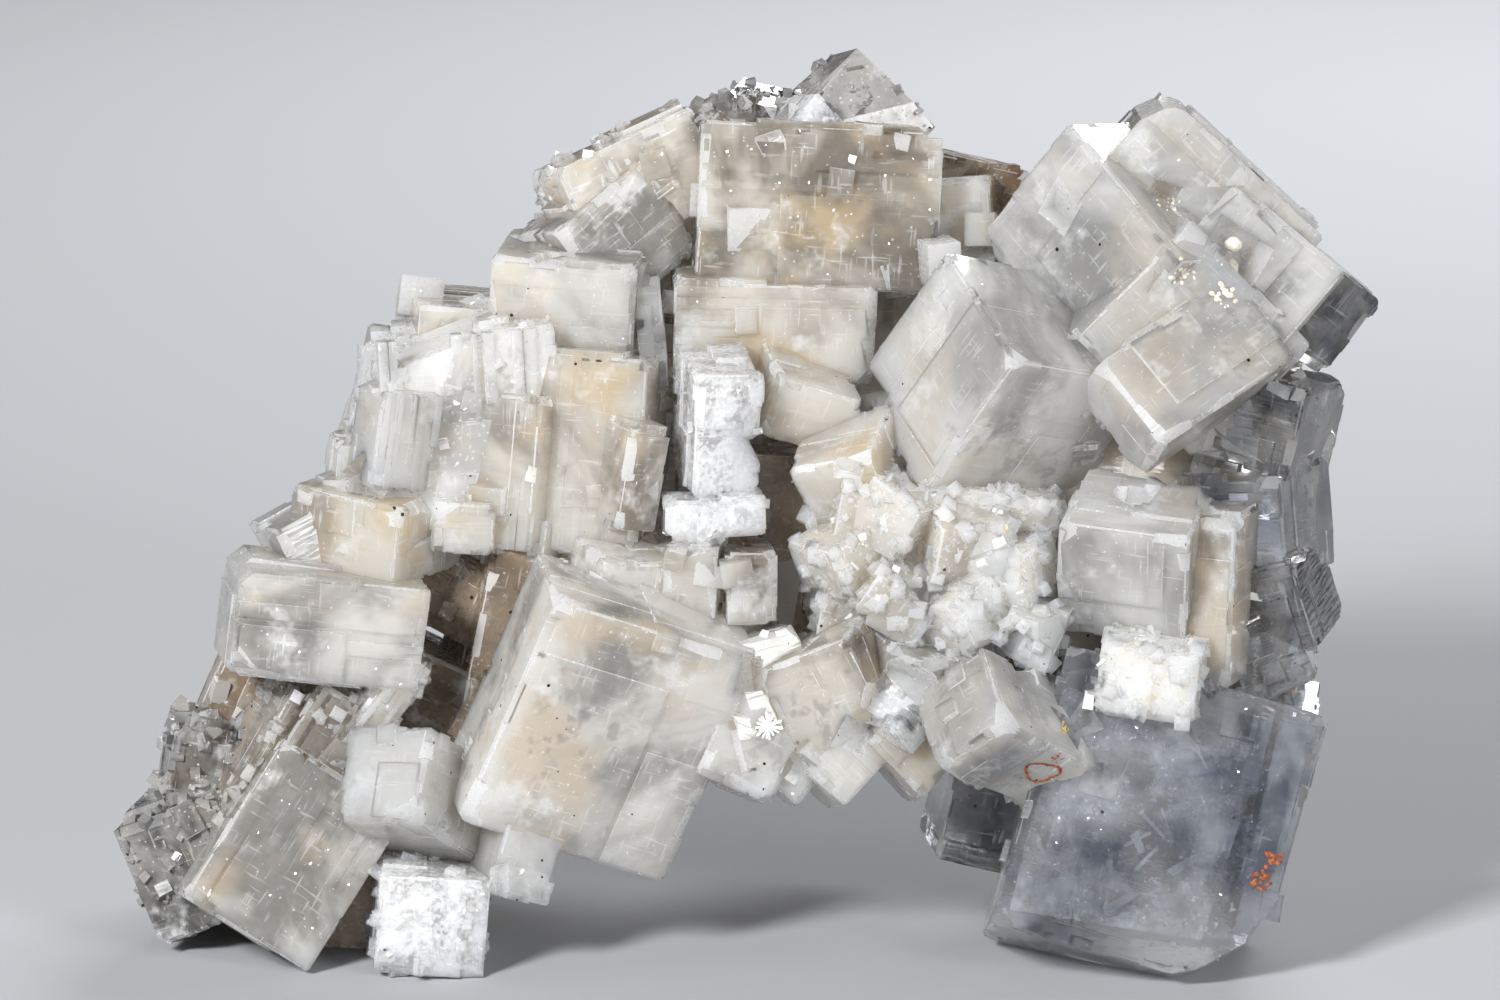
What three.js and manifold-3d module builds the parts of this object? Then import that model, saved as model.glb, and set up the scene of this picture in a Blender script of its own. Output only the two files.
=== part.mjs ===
import * as THREE from 'three';
import { mergeVertices } from 'three/addons/utils/BufferGeometryUtils.js';
import Module from 'manifold-3d';

// Halite cluster: salt cubes that grew into one another, with two pellets of clay in a pit.
// Millimetres. Every crystal is placed in an upright frame (x right, y away, z up) and the
// whole cluster then leans back and is cut flat where it stood on the rock.

const LEAN_DEG = 12;          // how far the cluster leans back on its feet
const FLOOR_LEVEL = -1.8;     // height at which the feet are cut flat, once it leans
const PLATE_RISE = [0.3, 0.65]; // how far a growth plate stands off its face
const PLATE_SHARE = [0.4, 0.85]; // how much of the face's width a growth plate covers
const PLATE_INSET = 0.2;      // a plate stops this far short of the crystal's edge
const PLATED_SIZE = [12.5, 32]; // crystals with a longest side in this range carry growth plates
const PLATED_DEPTH = 40;      // and only those that lie nearer than this to the front
const PELLET_GAP = 0.3;       // clearance round a clay pellet
const DEG = Math.PI / 180;

// name, size, centre, [heading, tilt, roll], broken corners [direction, reach from the centre]
const CRYSTALS = [
  // the hidden mass that carries the rest
  ['core_left', [40, 28, 36], [-20, 46, 58], [8, 6, 5], []],
  ['core_top', [46, 26, 34], [8, 50, 73], [-10, 4, -4], []],
  ['core_middle', [50, 26, 24], [16, 42, 48], [6, 8, 4], []],
  ['core_right', [26, 26, 50], [46, 42, 60], [12, 0, 8], []],
  ['core_left_foot', [26, 24, 36], [-45, 38, 22], [-8, 4, 24], []],
  ['core_low', [32, 24, 20], [-16, 36, 38], [10, 8, 12], []],
  ['core_right_foot', [22, 24, 42], [46.5, 37, 25], [10, 4, 15], []],
  // back: broken cleavage steps
  ['back_left', [22, 16, 26], [-27, 59, 51], [20, 0, 12], []],
  ['back_top', [24, 14, 24], [8, 63, 74], [-12, 6, -8], []],
  ['back_right', [22, 18, 28], [32, 58, 64], [24, 4, 10], []],
  ['back_low', [26, 18, 24], [8, 56, 48], [-20, 2, 6], []],
  ['back_left_foot', [20, 16, 30], [-46, 52, 22], [14, 4, 16], []],
  ['back_right_foot', [18, 16, 28], [44, 51, 21], [-16, 4, 12], []],
  ['back_step_a', [16, 14, 18], [42, 62, 76], [18, 6, 2], []],
  ['back_step_b', [18, 12, 14], [20, 69, 64], [8, -2, 8], []],
  ['back_step_c', [14, 14, 20], [-6, 66, 60], [-16, 8, 0], []],
  ['back_step_d', [15, 12, 13], [-38, 61, 60], [28, 2, 18], []],
  ['back_step_e', [13, 12, 16], [-18, 66, 44], [12, -2, 4], []],
  ['back_step_f', [16, 14, 15], [38, 64, 50], [14, 6, 12], []],
  ['back_step_g', [14, 13, 15], [12, 61, 38], [-10, -4, -6], []],
  ['back_step_h', [13, 12, 14], [-51, 53, 38], [2, 8, 28], []],
  ['back_step_i', [12, 12, 16], [55, 51, 42], [24, 4, 4], []],
  ['back_step_j', [12, 12, 14], [50, 52, 26], [-8, 6, 18], []],
  ['back_step_k', [13, 12, 15], [-41, 56, 24], [24, -2, 14], []],
  ['back_step_l', [14, 12, 12], [-12, 60, 76], [0, 10, -2], []],
  // sides
  ['side_right_a', [9, 14, 13], [57, 43, 76], [22, 8, 6], []],
  ['side_right_b', [10, 12, 14], [58, 44, 60], [2, 6, -4], []],
  ['side_right_c', [9, 13, 12], [54, 38, 26], [-6, 8, 12], []],
  ['side_left_a', [10, 13, 12], [-38, 46, 66], [16, 10, 12], []],
  ['side_left_b', [11, 14, 13], [-42, 45, 49], [-2, 8, 0], []],
  ['side_left_c', [9, 12, 12], [-57, 40, 30], [8, 6, 24], []],
  // top
  ['spire', [12, 13, 12], [12, 40, 97], [15, 10, -40], [[0.2, -1, 0.4, 6], [1, 0, 0, 5]]],
  ['bright_corner', [8, 9, 7.5], [6, 33, 94], [22, 20, -42], []],
  ['crest_left', [8, 8, 6], [-3.5, 38, 95.5], [20, 15, -22], []],
  ['crest_right', [6, 8, 6], [1, 37, 97], [-10, 20, 12], []],
  ['top_block', [27, 14, 18], [8, 34, 87], [4, 4, 3], [[1, 0, 1, 14.4]]],
  ['top_left_slab', [17.5, 16, 11], [-13, 38, 89.5], [12, 6, -24], [[-1, 0, 1, 9.4]]],
  ['top_right_slab', [18, 14, 14], [21.5, 44, 86.5], [10, 5, 13], []],
  // upper left
  ['tilted_left', [13, 12, 12], [-15.5, 34, 83], [20, 15, -36], []],
  ['left_block', [16, 18, 13], [-19.5, 32, 76], [-6, 14, 3], []],
  ['left_spike', [3, 8, 13], [-10.5, 28, 72.5], [0, 5, -5], []],
  ['curved_left', [21, 20, 22], [-33, 29, 63.5], [12, 12, -3],
    [[-1, 0, 1, 10.2], [-1, 0, 0.3, 9.4], [-0.3, 0, 1, 9.4]]],
  ['curved_lens', [7, 8, 11], [-39, 19, 61], [25, 10, 8], [[-0.5, 0, 1, 5.6]]],
  ['curved_shoulder', [9, 12, 10], [-42, 28, 55.5], [10, 8, 6], []],
  ['rear_left', [11, 9, 8], [-28, 44, 70], [-20, 10, 5], []],
  ['left_column', [12.5, 16, 22], [-16, 28, 59.5], [-12, 6, 4], []],
  ['left_ridge', [8, 12, 17], [-24.5, 25, 57], [-25, 4, 5], []],
  ['left_apex', [5, 7, 12], [-13, 20, 57], [35, 10, 10], []],
  ['left_ledge', [14, 14, 9], [-41, 24, 51], [-30, 15, 5], []],
  ['left_ledge_end', [11, 12, 7.5], [-47.5, 26, 50], [15, 12, -26], []],
  ['recess_slab', [16, 8, 9], [-29, 31, 42], [-15, 10, 25], []],
  ['small_box', [7, 6, 5.5], [-31, 21, 51], [-8, 8, 2], []],
  // lower left
  ['bright_slab', [21, 17, 11.5], [-47, 20, 40.5], [10, 8, 7], [[-1, 0, 1, 10.6]]],
  ['foot_block', [13, 14, 12], [-58.5, 30, 22.3], [12, 5, 8], [[-1, 0, 1, 8]]],
  ['foot_end', [13, 15, 14], [-61, 28, 14], [-15, 8, -22], [[-1, 0, -1, 8.4], [-1, 0, 0, 5.8]]],
  ['rib_a', [4, 9, 18], [-44, 20, 28], [20, 5, 40], []],
  ['rib_b', [5, 9, 19], [-50, 20, 25], [10, 5, 32], []],
  ['rib_c', [3.5, 9, 17], [-54.5, 22, 25.5], [25, 5, 30], []],
  ['rib_d', [4, 9, 11], [-39.5, 19, 32], [5, 5, 35], []],
  ['foot_face', [16, 18, 20], [-51.5, 23, 14.5], [10, -5, 32], []],
  ['grey_prism', [10, 24, 10.5], [-35, 20, 20], [-26, -16, 8], []],
  ['sparkling_foot', [12, 16, 11], [-35, 20, 8], [5, 10, 5], []],
  ['low_wedge', [7, 11, 9], [-25.5, 18, 14.5], [20, 0, 15], []],
  // middle
  ['big_milky', [24.5, 13, 28], [-16, 16, 29.7], [20, 18, 24], []],
  ['upper_milky', [13, 14, 9], [-13, 24, 45], [25, 20, 8], []],
  ['stair_a', [6, 7, 4.5], [-6, 19, 52], [4, 10, 1], []],
  ['stair_b', [3, 6, 5], [-3.5, 17, 51.5], [-6, 8, 0], []],
  ['stair_c', [5, 7, 4.5], [-0.5, 18, 52.5], [6, 10, -2], []],
  ['column_a', [5.5, 8, 8], [0.5, 19, 44.5], [5, 8, 0], []],
  ['column_b', [6, 9, 9], [-5.5, 20, 45], [-8, 10, 3], []],
  ['frosted_box', [7.5, 12, 14], [-3, 21, 62.5], [12, 16, 2], []],
  ['centre_slab', [22.5, 16, 11], [3, 34, 74], [3, 12, 2], []],
  ['wedge', [10, 10, 7], [6.5, 25, 65], [20, 20, 22], []],
  ['centre_shard', [10, 11, 9], [12, 21, 57], [-25, 25, -22], []],
  ['middle_low', [10, 14, 14], [1, 20, 32], [15, 5, -15], []],
  ['centre_low', [11, 12, 11], [10, 17, 33.5], [-20, 10, -26], []],
  ['hanging_a', [9, 11, 8], [-0.5, 18, 25.7], [10, -5, 22], []],
  ['hanging_b', [6, 9, 6], [5, 20, 24], [0, -5, 40], []],
  ['hanging_c', [8, 11, 8], [10, 19, 25.3], [5, -10, 43], []],
  ['hanging_d', [8.5, 12, 8.5], [19, 19, 26.5], [0, -8, 46], []],
  // rough sugary middle
  ['sugar_mass', [25, 18, 18], [20.5, 27, 48], [10, 12, 10], []],
  ['sugar_a', [8, 9, 6], [11, 18, 48], [30, 25, -20], []],
  ['sugar_b', [7, 8, 7], [17, 17, 52], [-20, 20, 30], []],
  ['sugar_c', [9, 9, 7], [24, 18, 50], [25, 30, 10], []],
  ['sugar_d', [7, 8, 6], [30, 17, 46], [-35, 20, -15], []],
  ['sugar_e', [8, 8, 6], [17, 16, 43], [10, 25, 35], []],
  ['sugar_f', [7, 8, 7], [24, 15, 41], [40, 20, -25], []],
  ['sugar_g', [6, 7, 6], [32, 15, 39], [-10, 25, 15], []],
  // lower right
  ['light_piece', [11, 12, 9], [20, 17, 33.5], [25, 15, 10], []],
  ['striated_box', [4.5, 6, 4.5], [17, 12, 29.5], [40, -15, 40], []],
  ['ring_crystal', [10, 16, 10.5], [28.5, 9.5, 28.5], [-30, -33, -17], []],
  ['clear_block', [29.5, 20, 32], [45.5, 20.5, 17.2], [0, -8, 16],
    [[1, 0, -1, 16.3], [1, 0, -0.35, 15.4], [0.5, 0, -1, 16.9]]],
  ['rear_dark', [18, 14, 10], [30.5, 34, 18], [10, 10, 15], []],
  // upper right
  ['corner_cube', [18, 21.5, 20], [29, 24, 66.5], [-43, 27, 35], []],
  ['right_face', [22, 13, 18], [41.5, 28, 82], [-28, 28, 38], []],
  ['right_dome', [24, 18, 17], [50, 33, 86], [5, 5, 43],
    [[-0.68, 0, 0.73, 12.6], [-0.35, 0, 0.94, 11], [-0.92, 0, 0.39, 12.8]]],
  ['right_body', [16, 17, 17], [56.5, 29, 77], [-10, 5, 40], []],
  ['right_fill', [20, 18, 18], [48.5, 27, 73], [15, 0, 45], []],
  ['right_lower', [20, 9, 11.5], [49, 18, 67.5], [27, -12, -39], []],
  ['right_window', [9.5, 11, 10.5], [63.5, 27, 75.5], [10, 5, 38], []],
  // right edge
  ['right_cube', [14.5, 13.5, 13.5], [43.5, 18.5, 47.5], [-16, 28, 0], []],
  ['right_cube_side', [7, 12, 19], [52.5, 20, 43.5], [-20, 12, 2], []],
  ['right_cube_foot', [11, 14, 8], [45.5, 15, 35], [-10, 15, 5], []],
  ['rim_a', [11, 16, 13], [58.8, 28, 61.5], [-20, 10, 12], []],
  ['rim_b', [12, 15, 12], [57.5, 28, 51.5], [-25, 8, -5], []],
  ['rim_c', [11, 14, 10], [59, 27, 42.5], [-20, 10, -18], []],
  ['rim_d', [9, 12, 8], [58.5, 27, 37], [-10, 10, -25], []],
  ['rim_plate', [12, 12, 2.6], [58, 26, 31.5], [0, 25, 17], []],
];

// hollows broken into the upper right crystal: size, centre, turn
const PITS = [
  [[6, 7, 6], [54.5, 20.5, 81], [20, 10, 32]],
  [[3.2, 5, 3], [46.8, 24, 88], [-15, 30, 20]],
];

// clay pellets lodged in the larger hollow: name, radius, stretch, centre
const PELLETS = [
  ['clay_pellet_upper', 1.0, [1.05, 0.9, 0.95], [54.5, 22.2, 82.3]],
  ['clay_pellet_lower', 1.05, [0.95, 0.9, 1.1], [54.1, 21.6, 79.7]],
];

const wasm = await Module();
wasm.setup();

// repeatable random numbers between 0 and 1
function seededRandom(seed) {
  let state = seed;
  return () => {
    state = (state * 1664525 + 1013904223) % 4294967296;
    return state / 4294967296;
  };
}

const random = seededRandom(20);

function between([low, high]) {
  return low + (high - low) * random();
}

function toSolid(geometry) {
  const bare = geometry.clone();
  bare.deleteAttribute('normal');
  bare.deleteAttribute('uv');
  const merged = mergeVertices(bare, 1e-4);
  return new wasm.Manifold(new wasm.Mesh({
    numProp: 3,
    vertProperties: new Float32Array(merged.attributes.position.array),
    triVerts: new Uint32Array(merged.index.array),
  }));
}

function toGeometry(solid) {
  const mesh = solid.getMesh();
  const geometry = new THREE.BufferGeometry();
  geometry.setAttribute('position', new THREE.BufferAttribute(new Float32Array(mesh.vertProperties), 3));
  geometry.setIndex(new THREE.BufferAttribute(new Uint32Array(mesh.triVerts), 1));
  geometry.computeVertexNormals();
  return geometry;
}

// crystals that meet all round a gap would seal it: fill such gaps by leaving their skins out
function withoutHollows(geometry) {
  const index = geometry.index.array;
  const point = geometry.attributes.position.array;
  const owner = Array.from({ length: point.length / 3 }, (_, i) => i);
  const find = (i) => {
    while (owner[i] !== i) {
      owner[i] = owner[owner[i]];
      i = owner[i];
    }
    return i;
  };
  for (let t = 0; t < index.length; t += 3) {
    owner[find(index[t + 1])] = find(index[t]);
    owner[find(index[t + 2])] = find(index[t]);
  }
  const volume = new Map();
  const [a, b, c] = [new THREE.Vector3(), new THREE.Vector3(), new THREE.Vector3()];
  for (let t = 0; t < index.length; t += 3) {
    a.fromArray(point, index[t] * 3);
    b.fromArray(point, index[t + 1] * 3);
    c.fromArray(point, index[t + 2] * 3);
    const shell = find(index[t]);
    volume.set(shell, (volume.get(shell) ?? 0) + a.dot(b.cross(c)));
  }
  const kept = [];
  for (let t = 0; t < index.length; t += 3) {
    if (volume.get(find(index[t])) > 0) {
      kept.push(index[t], index[t + 1], index[t + 2]);
    }
  }
  geometry.setIndex(kept);
  return geometry;
}

// heading about the upright, then tilt towards the front, then roll to the right
function placement(at, turn) {
  const [heading, tilt, roll] = turn.map((degrees) => degrees * DEG);
  const spin = new THREE.Quaternion().setFromEuler(new THREE.Euler(tilt, roll, heading, 'YXZ'));
  return new THREE.Matrix4().compose(new THREE.Vector3(...at), spin, new THREE.Vector3(1, 1, 1));
}

// a large block whose one face lies across the given direction, to break a corner off with
function breaker(direction, reach) {
  const span = 90;
  const normal = new THREE.Vector3(...direction).normalize();
  const spin = new THREE.Quaternion().setFromUnitVectors(new THREE.Vector3(0, 0, 1), normal);
  const block = new THREE.BoxGeometry(span, span, span);
  block.applyMatrix4(new THREE.Matrix4().compose(
    normal.clone().multiplyScalar(reach + span / 2), spin, new THREE.Vector3(1, 1, 1),
  ));
  return toSolid(block);
}

// a thin raised layer of later growth on one face of a crystal, set into one of its corners
function growthPlate(size, axis, side) {
  const extent = [0, 0, 0];
  const centre = [0, 0, 0];
  for (let k = 0; k < 3; k += 1) {
    const share = between(PLATE_SHARE);
    const corner = random() < 0.5 ? -1 : 1;
    extent[k] = size[k] * share;
    centre[k] = corner * ((size[k] - extent[k]) / 2 - PLATE_INSET);
  }
  const rise = between(PLATE_RISE);
  extent[axis] = 2;
  centre[axis] = side * (size[axis] / 2 + rise - 1);
  const plate = new THREE.BoxGeometry(...extent);
  plate.translate(...centre);
  return toSolid(plate);
}

function crystalSolid([, size, at, turn, broken]) {
  const place = placement(at, turn);
  let solid = toSolid(new THREE.BoxGeometry(...size));
  const longest = Math.max(...size);
  if (longest > PLATED_SIZE[0] && longest < PLATED_SIZE[1] && at[1] < PLATED_DEPTH) {
    solid = solid.add(growthPlate(size, 1, -1));
    solid = solid.add(growthPlate(size, 2, 1));
  }
  for (const [x, y, z, reach] of broken) {
    solid = solid.subtract(breaker([x, y, z], reach));
  }
  return toSolid(toGeometry(solid).applyMatrix4(place));
}

function pelletSolid([, radius, stretch, at], gap) {
  const pellet = new THREE.IcosahedronGeometry(radius + gap, 1);
  pellet.scale(...stretch);
  pellet.translate(...at);
  return toSolid(pellet);
}

function clusterSolid() {
  let cluster = null;
  for (const crystal of CRYSTALS) {
    const solid = crystalSolid(crystal);
    cluster = cluster ? cluster.add(solid) : solid;
  }
  for (const [size, at, turn] of PITS) {
    const pit = new THREE.BoxGeometry(...size).applyMatrix4(placement(at, turn));
    cluster = cluster.subtract(toSolid(pit));
  }
  for (const pellet of PELLETS) {
    cluster = cluster.subtract(pelletSolid(pellet, PELLET_GAP));
  }
  return cluster;
}

function leanBack(geometry) {
  geometry.applyMatrix4(new THREE.Matrix4().makeRotationX(-LEAN_DEG * DEG));
  return geometry.translate(0, 0, -FLOOR_LEVEL);
}

function cutFlatUnderneath(geometry) {
  const under = new THREE.BoxGeometry(400, 400, 100);
  under.translate(0, 0, -50);
  return toGeometry(toSolid(geometry).subtract(toSolid(under)));
}

// the origin sits under the middle of the cluster
function footprintCentre(geometry) {
  geometry.computeBoundingBox();
  const centre = geometry.boundingBox.getCenter(new THREE.Vector3());
  return [-centre.x, -centre.y, 0];
}

function namedMesh(name, geometry, material) {
  const mesh = new THREE.Mesh(geometry, material);
  mesh.name = name;
  return mesh;
}

const salt = new THREE.MeshStandardMaterial({ color: 0xd9d6d0, transparent: true, opacity: 0.6 });
const clay = new THREE.MeshStandardMaterial({ color: 0xcfc5ad, roughness: 0.95 });

const cluster = cutFlatUnderneath(leanBack(withoutHollows(toGeometry(clusterSolid()))));
const toOrigin = footprintCentre(cluster);

const group = new THREE.Group();
group.add(namedMesh('halite_cluster', cluster.translate(...toOrigin), salt));
for (const pellet of PELLETS) {
  const geometry = leanBack(toGeometry(pelletSolid(pellet, 0)));
  group.add(namedMesh(pellet[0], geometry.translate(...toOrigin), clay));
}

export default group;
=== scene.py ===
# %% [markdown]
# # A cluster of halite cubes
# Halite is rock salt. It grows as cubes, and this hand specimen is a crowd of them that grew into
# one another, milky where brine and clay were trapped and clear where growth was slow.
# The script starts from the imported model: one solid for the crystals and two pellets of clay.

# %% Load the fixed frame
import math
import random

import bpy
import numpy as np
from mathutils import Euler, Matrix, Vector
from mathutils.bvhtree import BVHTree


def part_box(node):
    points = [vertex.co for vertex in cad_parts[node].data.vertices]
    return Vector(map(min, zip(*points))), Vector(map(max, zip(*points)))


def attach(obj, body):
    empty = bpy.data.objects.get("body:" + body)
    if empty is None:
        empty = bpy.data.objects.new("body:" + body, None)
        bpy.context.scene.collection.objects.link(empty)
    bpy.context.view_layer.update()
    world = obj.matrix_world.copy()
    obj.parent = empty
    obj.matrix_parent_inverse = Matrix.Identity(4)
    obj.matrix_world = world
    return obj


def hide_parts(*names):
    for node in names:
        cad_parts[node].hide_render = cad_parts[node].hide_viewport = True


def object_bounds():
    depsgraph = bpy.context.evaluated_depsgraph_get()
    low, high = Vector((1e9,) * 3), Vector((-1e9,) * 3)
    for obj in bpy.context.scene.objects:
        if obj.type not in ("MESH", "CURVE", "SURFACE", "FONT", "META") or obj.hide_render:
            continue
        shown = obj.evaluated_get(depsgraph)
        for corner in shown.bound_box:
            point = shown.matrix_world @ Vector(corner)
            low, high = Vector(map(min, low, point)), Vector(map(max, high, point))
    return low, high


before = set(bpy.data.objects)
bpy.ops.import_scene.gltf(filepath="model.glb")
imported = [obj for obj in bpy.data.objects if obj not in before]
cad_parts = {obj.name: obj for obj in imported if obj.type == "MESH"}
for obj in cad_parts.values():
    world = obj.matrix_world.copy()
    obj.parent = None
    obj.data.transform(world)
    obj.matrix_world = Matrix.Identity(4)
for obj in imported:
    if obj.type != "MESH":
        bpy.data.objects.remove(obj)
cad_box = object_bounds()
bpy.ops.object.select_all(action="DESELECT")
print("CAD nodes:", sorted(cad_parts))

# %% [markdown]
# ## Two frames of thought
# The cluster leans back by twelve degrees on its feet. It is easier to describe it upright, with x
# to the right, y away from the showy front and z up, in millimetres. One matrix takes that upright
# frame to the model's own frame in metres, and the upper clay pellet, whose place the model knows,
# pins the two together.

# %% Upright millimetres to model metres
LEAN = math.radians(-12)
PELLET_AT = Vector((54.5, 22.2, 82.3))
low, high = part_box("clay_pellet_upper")
lean_back = Matrix.Rotation(LEAN, 4, "X") @ Matrix.Scale(0.001, 4)
TO_MODEL = Matrix.Translation((low + high) / 2 - lean_back @ PELLET_AT) @ lean_back
TO_UPRIGHT = TO_MODEL.inverted()
print("upright origin lies at", [round(v, 4) for v in TO_MODEL.translation])

# %% [markdown]
# ## The camera
# A long lens keeps the cubes' edges close to parallel, so that a cube still reads as a cube. A
# short lens close by would splay them. The camera looks level in the upright frame, which is
# twelve degrees down on the leaning cluster.

# %% Place the camera
VIEW_CENTRE = Vector((0.6, 28, 53.8))
AWAY = 1000              # from the cluster to the lens, millimetres
LENS, SENSOR = 214, 36
camera_data = bpy.data.cameras.new("view")
camera_data.sensor_width = SENSOR
camera_data.lens = LENS
camera = bpy.data.objects.new("view", camera_data)
bpy.context.scene.collection.objects.link(camera)
camera.location = TO_MODEL @ (VIEW_CENTRE - Vector((0, AWAY, 0)))
camera.rotation_euler = (math.radians(90) + LEAN, 0, 0)
bpy.context.scene.camera = camera
print("camera at", [round(v, 3) for v in camera.location])

# %% [markdown]
# ## Every cube by name
# Each row is one grown cube: a name, the finish its salt has, its size, its centre and its turn
# (heading about the upright, tilt towards the front, roll to the right). A face of the cluster
# can then be traced to the cube it belongs to, so growth lines, steps and cleavage follow
# that cube's own axes, as they do in real salt.
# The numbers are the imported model's own. A helper script copied them here from the model's
# source, and only the finishes were chosen for this script.

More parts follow.
